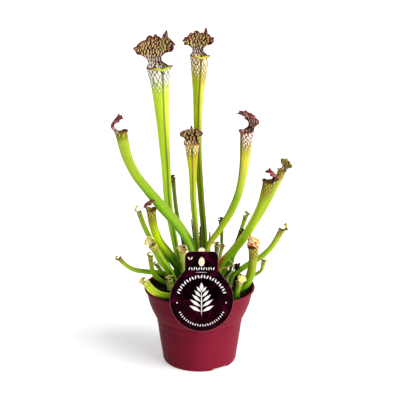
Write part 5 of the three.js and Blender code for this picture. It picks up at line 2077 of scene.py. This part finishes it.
    def stake(self) -> Piece:
        """The stake with its rounded top, pointed foot and the peg through the card's hole.

        Returns:
            The stake, in its place.
        """
        top_y, top_z = self.back(self.tab_top)
        front = top_y + GAP
        foot = MIX_LEVEL - self.stake_depth
        half = self.stake_width / 2
        length = top_z + self.stake_above - foot
        strip = Bench.block("strip", (0, length / 2, -self.stake_thickness / 2),
                            (self.stake_width, length, self.stake_thickness))
        self.round_corners(strip, length - 1, half - 0.05)
        for vertex in strip.data.vertices:
            if vertex.co.y < 1 * MM:
                share = smoothstep(2 * self.stake_width, 0.0, vertex.co.y / MM)
                vertex.co.x *= lerp(1.0, self.stake_tip_half / half, share)
        Bench.weld(strip)

        hole_y, hole_z = self.back(self.tab_top - self.hole_below_top)
        reach = front - hole_y + self.thickness + self.peg_ahead
        half_wide, half_high = self.hole_half
        peg = Bench.drum("peg", (0, hole_z - foot, reach / 2 - 1.0),
                         (half_wide - 2 * GAP, half_high - 3 * GAP), reach + 2.0, 48)
        Bench.cut(strip, peg, "UNION")
        Bench.weld(strip)
        Bench.soften(strip, self.stake_round, 3, 40.0)
        strip.matrix_world = (Matrix.Translation(Vector((self.x, front, foot)) * MM)
                              @ Matrix.Rotation(math.pi / 2, 4, "X"))
        Bench.settle(strip)
        return strip

    def build(self) -> None:
        """Build card, print and stake and hand them in."""
        card = self.card()
        self.lay(card)
        Bench.dress(card, "round_card", CardFinish().material(), 35.0)
        Bench.hand_in(card, "label_card", "label_card")

        ink = Bench.join(self.print_pads())
        self.lay(ink)
        ink_finish = PaleFinish("white_ink", (236, 232, 230), (206, 198, 196), 0.5)
        Bench.dress(ink, "card_print", ink_finish.material())
        Bench.hand_in(ink, None, "label_card")

        stake = self.stake()
        stake_finish = PaleFinish("cream_plastic", (240, 228, 196), (214, 192, 148), 0.4)
        Bench.dress(stake, "cream_stake", stake_finish.material(), 50.0)
        Bench.hand_in(stake, "label_stake", "label_stake")


# ---- Studio ----


@dataclass
class Lamp:
    """A broad soft light from far away: where it comes from, its strength and its spread in degrees."""

    name: str
    comes_from: Triple
    strength: float
    spread: float

    def build(self) -> None:
        """Add the lamp."""
        Bench.clear()
        bpy.ops.object.light_add(type="SUN", location=self.comes_from)
        lamp = bpy.context.object
        lamp.name = self.name
        lamp.data.energy = self.strength
        lamp.data.angle = math.radians(self.spread)
        lamp.rotation_euler = Vector(self.comes_from).to_track_quat("Z", "Y").to_euler()


@dataclass
class Studio:
    """Camera, floor, lamps and pale surroundings."""

    camera_at: Triple = (0.0, -0.9, 0.4164)
    camera_pitch: float = 14.74
    focal_pixels: float = 878.6
    image_width: float = 400.0
    middle_x: float = 199.5
    sensor: float = 36.0
    lamps: tuple[Lamp, ...] = (
        Lamp("key", (1.45, -0.85, 1.05), 3.7, 52.0),
        Lamp("fill", (-1.0, -0.8, 0.9), 0.12, 60.0),
    )
    sky: float = 0.4
    floor_size: float = 60.0
    floor_glow: float = 0.38

    def camera(self) -> None:
        """Add the camera at the photograph's viewpoint."""
        Bench.clear()
        bpy.ops.object.camera_add(location=self.camera_at,
                                  rotation=(math.radians(90 - self.camera_pitch), 0, 0))
        camera = bpy.context.object
        camera.data.sensor_width = self.sensor
        camera.data.lens = self.focal_pixels / self.image_width * self.sensor
        camera.data.shift_x = (self.image_width / 2 - self.middle_x) / self.image_width
        bpy.context.scene.camera = camera

    def floor(self) -> None:
        """Add the pale floor."""
        Bench.clear()
        bpy.ops.mesh.primitive_plane_add(size=self.floor_size)
        floor = Bench.take("floor")
        recipe = Recipe("pale_floor")
        cloud = recipe.noise(recipe.here(), 0.004, 2.0, 0.5)
        Bench.dress(floor, "studio_floor", recipe.finish(
            Base_Color=recipe.blend(cloud, (246, 246, 246), (250, 250, 250)),
            Roughness=0.9,
            Specular_IOR_Level=0.1,
            Emission_Color=linear((255, 255, 255)),
            Emission_Strength=self.floor_glow,
        ))

    def build(self) -> None:
        """Set the studio up."""
        self.camera()
        self.floor()
        for lamp in self.lamps:
            lamp.build()
        world = bpy.data.worlds.new("pale_room")
        world.use_nodes = True
        background = world.node_tree.nodes["Background"]
        background.inputs["Color"].default_value = (1.0, 1.0, 1.0, 1.0)
        background.inputs["Strength"].default_value = self.sky
        scene = bpy.context.scene
        scene.world = world
        scene.view_settings.view_transform = "Standard"
        scene.view_settings.look = "None"


# ---- The plant ----


def main() -> None:
    """Build the plant and its studio."""
    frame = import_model()
    for part in (Studio(), NurseryPot(), PottingMix(), Label(), *PITCHERS, *WITHERED, *TUFTS):
        part.build()
    log.info("%d solids are stood for", len(frame["nodes"]))


if __name__ == "__main__":
    main()
